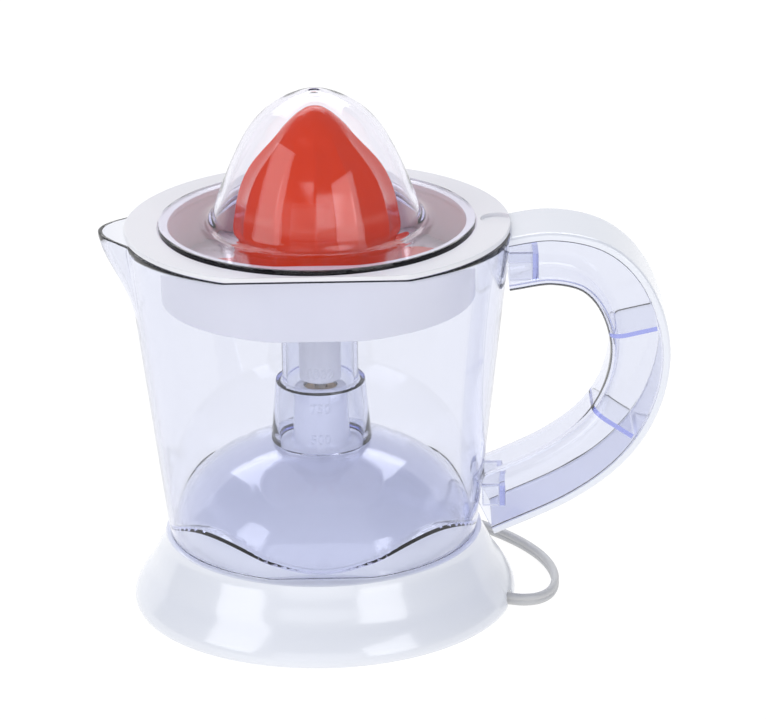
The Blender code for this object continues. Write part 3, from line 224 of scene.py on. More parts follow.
def moulding(name, grid, loop=True, ends=False, sharp=35):
    """A mesh over a grid of points, [row, column, xyz], given about the drive axis.

    Each row closes on itself.  With loop, the last row joins the first; with ends, each end row
    is drawn together in its middle.  The faces are turned to the side that gives a positive volume.
    """
    if ends:
        caps = [np.repeat(row.mean(1, keepdims=True), grid.shape[1], 1) for row in (grid[:1], grid[-1:])]
        grid = np.concatenate([caps[0], grid, caps[1]])
    rows, columns = grid.shape[:2]
    corner = np.arange(rows * columns).reshape(rows, columns)
    if loop:
        corner = np.vstack([corner, corner[:1]])
    corner = np.hstack([corner, corner[:, :1]])
    quads = np.stack([corner[:-1, :-1], corner[1:, :-1], corner[1:, 1:], corner[:-1, 1:]], -1)
    quads = quads.reshape(-1, 4)
    points = grid.reshape(-1, 3) + (AXIS, 0, 0)
    a, b, c, d = (points[quads[:, i]] for i in range(4))
    if (a * (np.cross(b, c) + np.cross(c, d))).sum() < 0:
        quads = quads[:, ::-1]
    mesh = bpy.data.meshes.new(name)
    mesh.from_pydata(points.tolist(), [], quads.tolist())
    if ends:
        weld(mesh)
    return piece_of(name, mesh, sharp)


def weld(mesh):
    """Merge the points of a mesh that lie on each other."""
    bm = bmesh.new()
    bm.from_mesh(mesh)
    bmesh.ops.remove_doubles(bm, verts=bm.verts, dist=1e-7)
    bm.to_mesh(mesh)
    bm.free()


def piece_of(name, mesh, sharp=35):
    """An object of a mesh, smooth but for corners above an angle."""
    mesh.shade_smooth()
    mesh.set_sharp_from_angle(angle=radians(sharp))
    made = bpy.data.objects.new(name, mesh)
    bpy.context.scene.collection.objects.link(made)
    return made


def along(name, path, section, up=(0, 0, 1), sharp=35):
    """A closed section carried along a path: each of its points is moved across and up from the path.

    section is [row or 1, column, (across, up)], and across is level and square to the path.
    """
    tangent = np.gradient(path, axis=0)
    tangent /= np.linalg.norm(tangent, axis=1, keepdims=True)
    across = np.cross(tangent, np.array(up, float))
    across /= np.linalg.norm(across, axis=1, keepdims=True)
    lift = np.cross(across, tangent)
    grid = path[:, None] + across[:, None] * section[..., :1] + lift[:, None] * section[..., 1:]
    return moulding(name, grid, loop=False, ends=True, sharp=sharp)


def moulded(name, colour, roughness, drift=0.03, peel=0.02, peel_scale=1400, **fixed):
    """Moulded plastic: a colour that drifts a little, a gloss that varies as handling leaves it,
    and the fine orange peel of the mould."""
    made, start = new_finish(name)
    place = start.node("TexCoord").out("Object")
    cloud = start.node("TexNoise", None, {"Vector": place, "Scale": 22.0, "Detail": 3.0})
    touched = start.node("TexNoise", None, {"Vector": place, "Scale": 75.0, "Detail": 4.0})
    pitted = start.node("TexNoise", None, {"Vector": place, "Scale": peel_scale, "Detail": 2.0})
    low, high = ([min(c * (1 + side * drift), 1) for c in colour] for side in (-1, 1))
    sockets = {
        "Base Color": cloud.blend((*low, 1), (*high, 1)),
        "Roughness": roughness * 0.8 + touched * (0.4 * roughness),
        "Normal": start.node("Bump", None, {"Height": pitted, "Strength": peel, "Distance": 0.0005}),
    }
    sockets.update(fixed)
    start.node("OutputMaterial", None, {"Surface": start.node("BsdfPrincipled", None, sockets)})
    return made


def fit(piece, finish, body, slot, *stands_for):
    """Give a piece its finish, the body it moves with and the CAD nodes it stands for; slot is not used."""
    piece.data.materials.clear()
    piece.data.materials.append(finish)
    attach(piece, body)
    if stands_for:
        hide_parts(*stands_for)
    return piece


def twin_section(columns=36):
    """Outline of a twin flex: two circles side by side, read as a distance in each direction."""
    turn = np.arange(columns) * 2 * pi / columns
    core = CORD_THICKNESS / 2
    apart = CORD_WIDTH / 2 - core
    c, s = np.cos(turn), np.sin(turn)
    reach = apart * np.abs(s) + np.sqrt(core ** 2 - (apart * c) ** 2)
    return np.stack([reach * c, reach * s], -1)[None]


gland_way = np.array((cos(GLAND_ANGLE), sin(GLAND_ANGLE), 0.0))
gland_tip = GLAND_START + GLAND_LENGTH
exit_point = gland_way * (gland_tip + GAP) + (0, 0, GLAND_LEVEL - 0.2 * MM)
settle = np.array([0.0, 0.4, 0.8] + [1.0] * (len(CORD_ROUTE) - 3))
route = np.column_stack([np.array(CORD_ROUTE) * MM, mix(GLAND_LEVEL - 0.4 * MM, CORD_LIE, settle)])
coil_start = np.array((COIL_CENTRE[0] + 38.8 * MM, COIL_CENTRE[1] - 10.5 * MM, CORD_LIE))
free_run = through(np.vstack([exit_point, route, coil_start]), 5)[:-1]

turned = np.arange(0, COIL_TURNS, 1 / COIL_POINTS)
start_turn = np.arctan2(-10.5, 38.8)
around = start_turn + 2 * pi * turned
start_radius = np.hypot(38.8, 10.5) * MM
radius = mix(start_radius, COIL_RADII[0], smooth(turned / 0.22))
radius += (COIL_RADII[1] - COIL_RADII[0]) * (smooth((turned - 1.0) / 0.2) - smooth((turned - 3.0) / 0.2))
level = mix(*COIL_LEVELS, smooth((turned - 2.0) / 0.25))
coil = np.column_stack([
    COIL_CENTRE[0] + radius * np.cos(around), COIL_CENTRE[1] + radius * np.sin(around), level])

bend = np.linspace(pi, 1.5 * pi, 16)
bend_x = COIL_CENTRE[0] - COIL_RADII[0] + LEAD_IN_RADIUS * (1 + np.cos(bend))
bend_y = COIL_CENTRE[1] + LEAD_IN_RADIUS * np.sin(bend)
climb = COIL_LEVELS[1] + (PLUG_LEVEL - COIL_LEVELS[1]) * smooth(np.linspace(0, 0.95, 16))
plug_back = np.array((COIL_CENTRE[0] + PLUG_BACK, COIL_CENTRE[1] - LEAD_IN_RADIUS, PLUG_LEVEL))
cord_path = np.vstack([free_run, coil, np.column_stack([bend_x, bend_y, climb])[1:], plug_back])
cord = along("cord_flex", cord_path, twin_section(), sharp=50)

cord_grey = moulded("cord_grey_plastic", (0.50, 0.50, 0.50), 0.42, drift=0.05, peel=0.08, peel_scale=2600)
fit(cord, cord_grey, "base", "grey_cord", "cord", "cord_coil")

# The strain relief: a ribbed sleeve of the same plastic, moulded on the lead where it leaves.

GLAND_RIBS = 6
sleeve = np.linspace(0, 1, 121)
sleeve_path = gland_way * (GLAND_START + GLAND_LENGTH * sleeve)[:, None] + (0, 0, GLAND_LEVEL)
ribbed = smooth(np.sin(sleeve * 2 * pi * GLAND_RIBS) * 2 + 0.5)
ribbed *= smooth(sleeve * 6) * smooth((1 - sleeve) * 12)
sleeve_radius = mix(4.0 * MM, CORD_WIDTH / 2 + 0.4 * MM, sleeve) - 0.55 * MM * ribbed
turn = np.arange(40) * 2 * pi / 40
sleeve_section = sleeve_radius[:, None, None] * np.stack([np.cos(turn) * 0.86, np.sin(turn)], -1)[None]
gland = along("strain_relief", sleeve_path, sleeve_section)
fit(gland, cord_grey, "base", "grey_cord", "cord_gland")

# The plug: a moulded two-pin plug with a ribbed tail and grips pressed into its sides.

PLUG_LENGTH = 30.2 * MM
PLUG_HALF = np.array((9.0, 7.5)) * MM


def squared(columns, power=4.0):
    """A rounded square from -1 to 1: a circle whose sine and cosine are raised to a share of a power."""
    turn = (np.arange(columns) + 0.5) * 2 * pi / columns
    c, s = np.cos(turn), np.sin(turn)
    return np.stack([np.sign(c) * np.abs(c) ** (2 / power), np.sign(s) * np.abs(s) ** (2 / power)], -1)


share = np.linspace(0, 1, 110)
plug_path = plug_back + np.array((1.0, 0, 0)) * (share * PLUG_LENGTH)[:, None]
tail = 0.42 + 0.58 * smooth((share - 0.34) / 0.22)
tail -= 0.07 * smooth(np.sin(share * 2 * pi / 0.085) * 2) * smooth((0.36 - share) / 0.04)
face = np.sqrt(np.clip(1 - (np.clip(share - 0.95, 0, 1) / 0.055) ** 2, 0.4, 1))
grip = 0.06 * smooth(np.sin(share * 2 * pi / 0.07) * 2)
grip *= smooth((share - 0.6) / 0.03) * smooth((0.88 - share) / 0.03)
plug_scale = np.stack([tail * face - grip, tail * face], -1)[:, None] * PLUG_HALF
plug = along("plug", plug_path, plug_scale * squared(64)[None])
fit(plug, cord_grey, "base", "grey_cord", "plug_body")

# The plug's blades: stamped brass with a nickel plate, as the CAD model has them.


def metal(name, colour, roughness, grain=(1, 1, 1), scale=300, bump=0.05):
    """Bare or plated metal: fine streaks along one direction that vary its gloss and relief."""
    made, start = new_finish(name)
    place = start.node("TexCoord").out("Object")
    drawn = start.node("Mapping", None, {"Vector": place, "Scale": grain})
    streak = start.node("TexNoise", None, {"Vector": drawn, "Scale": scale, "Detail": 5.0})
    stain = start.node("TexNoise", None, {"Vector": place, "Scale": 90.0, "Detail": 3.0})
    sockets = {
        "Base Color": stain.blend((*(c * 0.85 for c in colour), 1), (*colour, 1)),
        "Roughness": roughness * 0.825 + streak * (roughness * 0.35),
        "Metallic": 1.0,
        "Normal": start.node("Bump", None, {"Height": streak, "Strength": bump, "Distance": 0.0003}),
    }
    start.node("OutputMaterial", None, {"Surface": start.node("BsdfPrincipled", None, sockets)})
    return made


def refinish(finish, slot, *names):
    """Give CAD nodes whose shape is right a better finish."""
    for name in names:
        nodes[name].data.materials.clear()
        nodes[name].data.materials.append(finish)


nickel = metal("nickel_plate", (0.72, 0.70, 0.66), 0.22, grain=(1, 6, 6))
refinish(nickel, "steel", "plug_blade_1", "plug_blade_2")


# The base: one glossy white moulding, 166 mm across. A skirt that spreads to the table, a flat
# seat for the jug, a dome with a slightly flat front over the motor, and the tower that the
# drive comes out of. A small arch in the skirt lets the lead out.

BASE_RADIUS = 83.2 * MM
BASE_WALL = 2.4 * MM
BASE_BOTTOM = 1.0 * MM
SEAT_HEIGHT = 32.6 * MM
DOME_RADIUS = 62.4 * MM
DOME_RISE = 37.5 * MM
DOME_SQUASH = 0.93
DOME_TOP_ANGLE = radians(72)
TOWER_RADIUS = 11.4 * MM
TOWER_TOP = 98.0 * MM
CHIMNEY_FOOT = 21.7 * MM
SKIRT = [                    # radius and height in millimetres, from the seat down
    (68.6, 32.6), (69.8, 28.6), (72.6, 23.0), (75.6, 17.0), (79.4, 11.5), (82.3, 6.5), (83.2, 3.0),
    (82.8, 1.0),
]
FRONT_COLUMNS = 112
REST_COLUMNS = 368


def plan_angles(corner):
    """Directions of a row's points, gathered towards the two corners of the flat front: corner is the
    half angle of the front, one a row, and the spacing follows one minus a cosine."""
    front, rest = (np.arange(n) / n for n in (FRONT_COLUMNS, REST_COLUMNS))
    gathered = [t - 0.8 * np.sin(2 * pi * t) / (2 * pi) for t in (front, rest)]
    corner = np.atleast_2d(corner).reshape(-1, 1)
    across = -pi / 2 - corner + 2 * corner * gathered[0]
    return np.hstack([across, -pi / 2 + corner + (2 * pi - 2 * corner) * gathered[1]])


def soft_least(a, b, ease):
    """The lesser of two values, with the corner between them rounded over about an ease."""
    return np.minimum(a, b) - ease * np.log1p(np.exp(-np.abs(a - b) / ease))


def plan(angle, radius, flat, squash=1.0, ease=0.35 * MM):
    """Distance from the axis to an outline: a circle, its front half drawn in to an ellipse, cut by
    a straight line square to -Y."""
    c, s = np.cos(angle), np.sin(angle)
    rounded = np.where(s < 0, radius / np.hypot(c, s / squash), radius)
    straight = flat / np.maximum(-s, 0.02)
    return soft_least(rounded, straight, ease)


def corner_angle(radius, flat, squash=1.0):
    """Half angle of the straight front, where the line meets the ellipse; never so small that a round
    row's points crowd."""
    inside = np.maximum(1 / flat ** 2 - 1 / (radius * squash) ** 2, 0)
    return np.maximum(np.arctan(radius * np.sqrt(inside)), 0.24)


def placed(angle, radius, height):
    """Points of rows, from directions, distances and heights that may vary round a row."""
    angle, radius, height = np.broadcast_arrays(angle, radius, height)
    return np.stack([radius * np.cos(angle), radius * np.sin(angle), height], -1)


def eased(corners, ease, steps=6):
    """A closed outline with each corner replaced by a curve from ease before it to ease after it, and a
    further point on each side that keeps the straights between the curves straight in their shading."""
    corners = np.asarray(corners, float)
    ease = np.broadcast_to(ease, len(corners))
    before, after = np.roll(corners, 1, 0) - corners, np.roll(corners, -1, 0) - corners
    reach = [np.linalg.norm(leg[:, [0, -1]], axis=1) for leg in (before, after)]
    away = [np.minimum(ease / np.maximum(r, 1e-9), 0.40)[:, None] for r in reach]
    t = np.linspace(0, 1, steps)[None, :, None]
    start, end = corners + before * away[0], corners + after * away[1]
    curve = (1 - t) ** 2 * start[:, None] + 2 * t * (1 - t) * corners[:, None] + t ** 2 * end[:, None]
    held = [corners + leg * far * 1.2 for leg, far in ((before, away[0]), (after, away[1]))]
    return np.concatenate([held[0][:, None], curve, held[1][:, None]], 1).reshape(-1, corners.shape[1])


def dome(rise, offset=0.0):
    """Radius and height on the base's dome, an ellipse on its seat, moved out square to it by an offset."""
    c, s = np.cos(rise), np.sin(rise)
    length = np.hypot(c / DOME_RADIUS, s / DOME_RISE)
    out = DOME_RADIUS * c + offset * c / DOME_RADIUS / length
    return out, SEAT_HEIGHT + 2 * MM + DOME_RISE * s + offset * s / DOME_RISE / length


def dome_plan(angle, radius):
    """The dome's outline at a radius: the further out, the flatter its front."""
    outward = smooth((radius - CHIMNEY_FOOT) / (DOME_RADIUS - CHIMNEY_FOOT))
    return plan(angle, radius, radius * mix(1.03, DOME_SQUASH, outward), ease=0.9 * MM)


base_angles = plan_angles(0.37)
skirt_curve = through(np.array(SKIRT) * MM, 8)
from_notch = BASE_RADIUS * np.abs(base_angles - GLAND_ANGLE)
lift = 6.2 * MM * np.sqrt(np.clip(1 - (from_notch / (5.0 * MM)) ** 4, 0, 1))


def skirt_rows(curve, inset):
    """Rows down the skirt, their heights squeezed up where the arch for the lead stands."""
    height = curve[:, 1:2]
    height = height + lift * (SEAT_HEIGHT - height) / (SEAT_HEIGHT - BASE_BOTTOM)
    out = np.interp(height, skirt_curve[::-1, 1], skirt_curve[::-1, 0]) - inset
    return placed(base_angles, out, height)


def dome_rows(rises, offset):
    radius, height = dome(rises[:, None], offset)
    return placed(base_angles, dome_plan(base_angles, radius), height)


def round_rows(profile):
    """Rows of a turned shape, from a list of radius and height."""
    profile = np.asarray(profile)
    return placed(base_angles, profile[:, :1], profile[:, 1:])


tower_foot = dome(DOME_TOP_ANGLE)[1] + 2.5 * MM
bush_bore = TOWER_RADIUS - 4.1 * MM
rises = np.linspace(DOME_TOP_ANGLE, 0, 44)
crown = [
    (bush_bore, TOWER_TOP), (TOWER_RADIUS - 1.2 * MM, TOWER_TOP),
    (TOWER_RADIUS - 0.35 * MM, TOWER_TOP - 0.35 * MM),
    (TOWER_RADIUS, TOWER_TOP - 1.2 * MM), (TOWER_RADIUS + 0.5 * MM, mix(tower_foot, TOWER_TOP, 0.5)),
    (TOWER_RADIUS + 1 * MM, tower_foot + 0.6 * MM), (TOWER_RADIUS + 1.6 * MM, tower_foot - 0.5 * MM),
    (TOWER_RADIUS + 3.0 * MM, tower_foot - 1.2 * MM),
]
seat_edge = [
    (DOME_RADIUS + 0.6 * MM, SEAT_HEIGHT + 0.3 * MM), (DOME_RADIUS + 1.5 * MM, SEAT_HEIGHT),
    (67.6 * MM, SEAT_HEIGHT), (68.4 * MM, SEAT_HEIGHT - 0.25 * MM),
]
seat = np.array(seat_edge)
seat_flat = seat[:, :1] * np.array([[0.93], [0.96], [1.03], [1.05]])
seat_out = placed(base_angles, plan(base_angles, seat[:, :1], seat_flat), seat[:, 1:])
outer = skirt_rows(skirt_curve[1:], 0.0)
inner = skirt_rows(skirt_curve[:0:-1], BASE_WALL)
lowest = (outer[-1:] + inner[:1]) / 2 - (0, 0, 0.25 * MM)
housing_grid = np.concatenate([
    round_rows(crown), dome_rows(rises, 0.0), seat_out, outer, lowest, inner,
    round_rows([(66.0 * MM, SEAT_HEIGHT - BASE_WALL)]), dome_rows(rises[::-1], -BASE_WALL),
    round_rows([(bush_bore, tower_foot - BASE_WALL), (bush_bore, TOWER_TOP - 0.5 * MM)]),
])
white_gloss = moulded(
    "white_gloss_plastic", (0.76, 0.775, 0.81), 0.16, drift=0.015, peel=0.03, peel_scale=900,
    **{"Coat Weight": 0.35, "Coat Roughness": 0.06})
fit(moulding("base_shell", housing_grid), white_gloss, "base", "white_gloss", "base_housing")

# Under the base: a bottom plate in plain white, four rubber feet, and three screws.

white_satin = moulded(
    "white_satin_plastic", (0.74, 0.735, 0.75), 0.34, drift=0.02, peel=0.06, peel_scale=1100)
refinish(white_satin, "white_satin", "base_plate")
rubber = moulded("foot_rubber", (0.16, 0.16, 0.165), 0.75, drift=0.12, peel=0.3, peel_scale=1800)
refinish(rubber, "rubber", *(f"foot_{i}" for i in range(1, 5)))
steel = metal("bright_steel", (0.60, 0.60, 0.61), 0.28, grain=(1, 1, 5))
refinish(steel, "steel", *(f"base_screw_{i}" for i in range(1, 4)))

# Inside the base: the motor with its laminated core, two wound bobbins and a ferrite rotor, the
# gear train on its frame, and the switch that the pressed shaft works.


def lined(name, axis, pitch, dark, light, gloss, metallic, relief, stained):
    """Metal in fine lines a pitch apart along an axis, as a sine of the place: sheets or wires side by
    side. The colour follows a stain, which is the metal's own tone, or the lines themselves, and then it is
    painted shade: darker in the grooves between them."""
    made, start = new_finish(name)
    place = start.node("TexCoord").out("Object")
    across = start.node("SeparateXYZ", None, {"Vector": place}).out(axis)
    line = start.math("SINE", across * (2 * pi / pitch)) * 0.5 + 0.5
    stain = start.node("TexNoise", None, {"Vector": place, "Scale": 120.0, "Detail": 4.0})
    # With the lines, the colour is painted shade, darker in the grooves between them; the stain is the
    # metal's own tone.
    stain_and_groove_shade = stain if stained else line
    sockets = {
        "Base Color": stain_and_groove_shade.blend((*dark, 1), (*light, 1)), "Roughness": gloss[0] + stain_and_groove_shade * gloss[1],
        "Metallic": metallic,
        "Normal": start.node("Bump", None, {"Height": line, "Strength": relief, "Distance": 0.0002}),
    }
    start.node("OutputMaterial", None, {"Surface": start.node("BsdfPrincipled", None, sockets)})
    return made


laminated = lined(
    "laminated_core", "Z", 0.5 * MM, (0.24, 0.24, 0.26), (0.36, 0.35, 0.36), (0.35, 0.3), 1.0, 0.5, True)
refinish(laminated, "laminated_steel", "stator_core")
# Painted shade: the winding's colour is darker copper in the grooves between its wires.
copper = lined(
    "copper_winding", "X", 0.3 * MM, (0.30, 0.09, 0.03), (0.62, 0.26, 0.10), (0.25, 0.2), 0.9, 0.7, False)
refinish(copper, "copper_winding", "coil_front", "coil_rear")
black = moulded("black_nylon", (0.025, 0.025, 0.028), 0.42, drift=0.2, peel=0.12)
refinish(black, "black_plastic", "bobbin_front", "bobbin_rear", "micro_switch")
refinish(moulded("switch_button", (0.55, 0.06, 0.03), 0.35), "orange", "switch_plunger")
ferrite = moulded("ferrite_magnet", (0.05, 0.05, 0.055), 0.6, drift=0.25, peel=0.35)
refinish(ferrite, "ferrite", "rotor_magnet")
refinish(steel, "steel", "rotor_shaft", "gear_axle", "drive_shaft", "switch_lever", "lever_pin",
    "return_spring")
bronze = metal("sintered_bronze", (0.42, 0.27, 0.13), 0.45, scale=900, bump=0.2)
refinish(bronze, "bronze", "bush_top", "bush_bottom")
acetal = moulded("white_acetal", (0.70, 0.70, 0.68), 0.38, drift=0.02, peel=0.05)
refinish(acetal, "gear_plastic", "output_gear", "middle_gear", "rotor_pinion", "thrust_cup")
refinish(white_satin, "white_satin", "gear_frame", "gearbox_cover")

# The spindle: a white acetal sleeve on the drive shaft, 18 mm thick, that ends in the
# hexagonal dog which turns the cone.

SPINDLE_RADIUS = 9.0 * MM
SPINDLE_BOTTOM = 101.2 * MM
DOG_RADIUS = 6.0 * MM
DOG_BOTTOM = 142.0 * MM
DOG_TOP = 186.0 * MM
DOG_TURN = radians(17)


def hexagon(angle):
    """Distance to a hexagon's side in each direction, as a share of the distance to its corners."""
    side = pi / 3
    return cos(pi / 6) / np.cos((angle - DOG_TURN) % side - side / 2)


spindle_profile = np.array([
    (0.6 * MM, SPINDLE_BOTTOM, 0), (SPINDLE_RADIUS - 0.6 * MM, SPINDLE_BOTTOM, 0),
    (SPINDLE_RADIUS, SPINDLE_BOTTOM + 0.6 * MM, 0),
    (SPINDLE_RADIUS, 130 * MM, 0), (SPINDLE_RADIUS, DOG_BOTTOM, 0),
    (SPINDLE_RADIUS - 0.8 * MM, DOG_BOTTOM + 1.2 * MM, 0),
    (DOG_RADIUS + 1 * MM, DOG_BOTTOM + 2 * MM, 0), (DOG_RADIUS, DOG_BOTTOM + 2.2 * MM, 1),
    (DOG_RADIUS, DOG_TOP - 3 * MM, 1),
    (DOG_RADIUS - 2 * MM, DOG_TOP, 1),
])
spindle_turn = np.arange(144) * 2 * pi / 144
faceted = mix(1.0, hexagon(spindle_turn)[None], spindle_profile[:, 2:])
spindle_grid = placed(spindle_turn[None], spindle_profile[:, :1] * faceted, spindle_profile[:, 1:2])
spindle = moulding("spindle", spindle_grid, loop=False, ends=True)
fit(spindle, acetal, "drive", "gear_plastic", "drive_spindle")


# The jug: one clear moulding with a lavender tint, 168.6 mm to its rim and about 2 mm thick.
# A tapering wall with a flat front and a short spout, a floor that lies over the base's dome and
# whose edge waves up and down four times, and the chimney that the drive comes up in.

RIM_RADIUS = 83.0 * MM
FOOT_RADIUS = 67.0 * MM
RIM_HEIGHT = 168.6 * MM
JUG_WALL = 2.0 * MM
FLAT_AT_RIM = 69.3 * MM
FLAT_AT_FOOT = 63.6 * MM
FRONT_SQUASH = 0.94
SPOUT_REACH = 10.3 * MM      # beyond the rim
SPOUT_DEPTH = 36.0 * MM
SPOUT_HALF_ANGLE = radians(15)
LIP_RISE = 1.0 * MM
WAVE_HEIGHT = 12.0 * MM
CHIMNEY_SHOULDER = 19.3 * MM
CHIMNEY_NECK = 16.4 * MM
SHOULDER_HEIGHT = 101.2 * MM
CHIMNEY_TOP = 154.0 * MM
SLIP = 0.7 * MM              # between pieces that lift off each other


def wall_share(height):
    return (height - SEAT_HEIGHT) / (RIM_HEIGHT - SEAT_HEIGHT)


def wall_sizes(height):
    """Radius, distance to the flat front, and squash of the front half, at a height."""
    up = wall_share(height)
    return mix(FOOT_RADIUS, RIM_RADIUS, up), mix(FLAT_AT_FOOT, FLAT_AT_RIM, up), mix(1.0, FRONT_SQUASH, up)


def wall_radius(angle, height, inset=0.0):
    radius, flat, squash = wall_sizes(height)
    return plan(angle, radius - inset, flat - inset, squash)


def spout_share(angle, height):
    """How far the spout stands out, 1 at its lip: a smooth step up the wall times a cosine across it."""
    away = np.abs(np.arctan2(np.sin(angle - pi), np.cos(angle - pi))) / SPOUT_HALF_ANGLE
    across = np.cos(np.minimum(away, 1.0) * pi / 2) ** 1.3
    return smooth((height - (RIM_HEIGHT - SPOUT_DEPTH)) / SPOUT_DEPTH) * across


def jug_radius(angle, height, inset=0.0):
    return wall_radius(angle, height, inset) + SPOUT_REACH * spout_share(angle, height)


def wave(angle):
    """Height of the floor's edge above its lowest: a cosine with four waves to the turn."""
    return WAVE_HEIGHT * (1 - np.cos(4 * angle)) / 2


def wall_rows(heights, inset):
    """Rows up or down the wall, at heights that may vary round a row."""
    heights = np.asarray(heights, float)
    corner = corner_angle(*wall_sizes(heights.mean(-1, keepdims=True)))
    angle = plan_angles(corner)
    return angle, placed(angle, jug_radius(angle, heights, inset), heights)


foot = SEAT_HEIGHT + GAP
floor_under = SEAT_HEIGHT + 2.6 * MM
foot_angles = plan_angles(corner_angle(*wall_sizes(foot)))


def edge_rows(level, reach, steps=7):
    """Rows over a rounded edge of the wall: half an ellipse from one face to the other."""
    turn = np.linspace(0, pi, steps + 2)[1:-1, None]
    inset = JUG_WALL / 2 * (1 - np.cos(turn))
    angle = plan_angles(corner_angle(*wall_sizes(level)))
    lip = LIP_RISE * spout_share(angle, level)
    height = level + lip + reach * (np.sin(turn) - 1)
    return placed(angle, jug_radius(angle, np.full_like(height, level), inset), height)


def floor_rows(offset, base, steps=34):
    """Rows of the floor from the wall in to the chimney: a level ledge at the wave's height, then the
    dome, whichever is higher, with the crease between them eased."""
    ledge = np.linspace(0, 1, 8)[:-1, None]
    radius, height = dome(np.linspace(0, DOME_TOP_ANGLE, steps)[:, None], offset)
    at_wall = jug_radius(foot_angles, base + wave(foot_angles), JUG_WALL)
    first = np.minimum(dome_plan(foot_angles, radius[:1]), at_wall - 0.4 * MM)
    reach = np.concatenate([mix(at_wall, first, ledge),
        np.minimum(dome_plan(foot_angles, radius), at_wall - 0.4 * MM)])
    tall = np.concatenate([np.full_like(ledge, height[0, 0] - 2 * MM), height])
    rise = -soft_least(-tall, -(base + wave(foot_angles)), 0.35 * MM)
    return placed(foot_angles, reach, rise)


def chimney_rows(inset, foot_offset):
    """Rows of the chimney from the dome up to its top."""
    bottom = dome(DOME_TOP_ANGLE, foot_offset)[1]
    foot_side, shoulder, neck = CHIMNEY_FOOT - inset, CHIMNEY_SHOULDER - inset, CHIMNEY_NECK - inset
    level = SHOULDER_HEIGHT - inset
    profile = np.array([
        (foot_side, bottom + 0.9 * MM), (mix(foot_side, shoulder, 0.5), mix(bottom, SHOULDER_HEIGHT, 0.5)),
        (shoulder, level - 0.7 * MM), (shoulder - 0.2 * MM, level - 0.2 * MM),
        (shoulder - 0.7 * MM, level), (neck + 0.6 * MM, level), (neck + 0.15 * MM, level + 0.15 * MM),
        (neck, level + 0.6 * MM), (neck, CHIMNEY_TOP - 0.4 * MM),
    ])
    return placed(foot_angles, profile[:, :1], profile[:, 1:])


spout_heights = RIM_HEIGHT - np.linspace(0.5 * MM, SPOUT_DEPTH, 26)
lower_heights = np.linspace(RIM_HEIGHT - SPOUT_DEPTH, foot + 0.5 * MM, 8)[1:]
outer_heights = np.concatenate([spout_heights, lower_heights])[:, None]
outer_wall = wall_rows(outer_heights, 0.0)[1]
under_edge = floor_under + wave(foot_angles)
skirt_inner = wall_rows(mix(foot + 0.5 * MM, under_edge, np.linspace(0, 0.96, 6)[:, None]), JUG_WALL)[1]
foot_edge = edge_rows(foot, -0.5 * MM)
foot_edge[..., 2] = foot + 0.5 * MM - (foot_edge[..., 2] - foot - 0.5 * MM)
floor_top = floor_under + JUG_WALL
top_edge = floor_top + wave(foot_angles)
inner_start = np.maximum(top_edge + 0.5 * MM, foot)
inner_heights = mix(inner_start, outer_heights[:1], np.linspace(0, 1, 34)[:, None] ** 0.8)
inner_wall = wall_rows(inner_heights, JUG_WALL)[1]
rim_edge = edge_rows(RIM_HEIGHT, 0.6 * MM)
jug_grid = np.concatenate([
    rim_edge[::-1], outer_wall, foot_edge, skirt_inner, floor_rows(SLIP, floor_under),
    chimney_rows(JUG_WALL, SLIP),
    round_rows([(CHIMNEY_NECK - JUG_WALL / 2, CHIMNEY_TOP)]), chimney_rows(0.0, SLIP + JUG_WALL)[::-1],
    floor_rows(SLIP + JUG_WALL, floor_top)[::-1], inner_wall,
])


def clear_plastic(name, tint, shadow_tint, soak, density, bend):
    """Clear tinted styrene: it bends light, soaks up a little of it with depth, and lets lamp light
    and light from dull surfaces straight through, tinted."""
    made, start = new_finish(name)
    place = start.node("TexCoord").out("Object")
    flow = start.node("TexNoise", None, {"Vector": place, "Scale": 30.0, "Detail": 2.0})
    haze = start.node("TexNoise", None, {"Vector": place, "Scale": 160.0, "Detail": 3.0})
    paler = (*(min(c * 1.015, 1) for c in tint), 1)
    sockets = {
        "Base Color": haze.blend((*tint, 1), paler), "Roughness": haze * 0.05, "IOR": bend,
        "Transmission Weight": 1.0,
        "Normal": start.node("Bump", None, {"Height": flow, "Strength": 0.012, "Distance": 0.001}),
    }
    glass = start.node("BsdfPrincipled", None, sockets)
    through_light = start.node("BsdfTransparent", None, {"Color": (*shadow_tint, 1)})
    ray = start.node("LightPath")
    lamps = start.node("MixShader", None, {0: ray.out("Is Shadow Ray"), 1: glass, 2: through_light})
    shown = start.node("MixShader", None, {0: ray.out("Is Diffuse Ray"), 1: lamps, 2: through_light})
    depth = start.node("VolumeAbsorption", None, {"Color": (*soak, 1), "Density": density})
    start.node("OutputMaterial", None, {"Surface": shown, "Volume": depth})
    return made


lavender = clear_plastic(
    "clear_lavender_plastic", (0.915, 0.922, 0.935), (0.99, 0.99, 1.0), (0.16, 0.24, 0.88), 30.0, 1.5)
fit(moulding("jug_body", jug_grid, sharp=40), lavender, "jug_body", "clear_lavender", "jug")

# Scale numbers stand on the front of the chimney, in the jug's own plastic.

SCALE_MARKS = [("1000", 108.3, CHIMNEY_NECK), ("750", 93.6, 19.8 * MM), ("500", 80.0, 20.9 * MM)]
FIGURE_HEIGHT = 4.6 * MM
FIGURE_RELIEF = 0.35 * MM


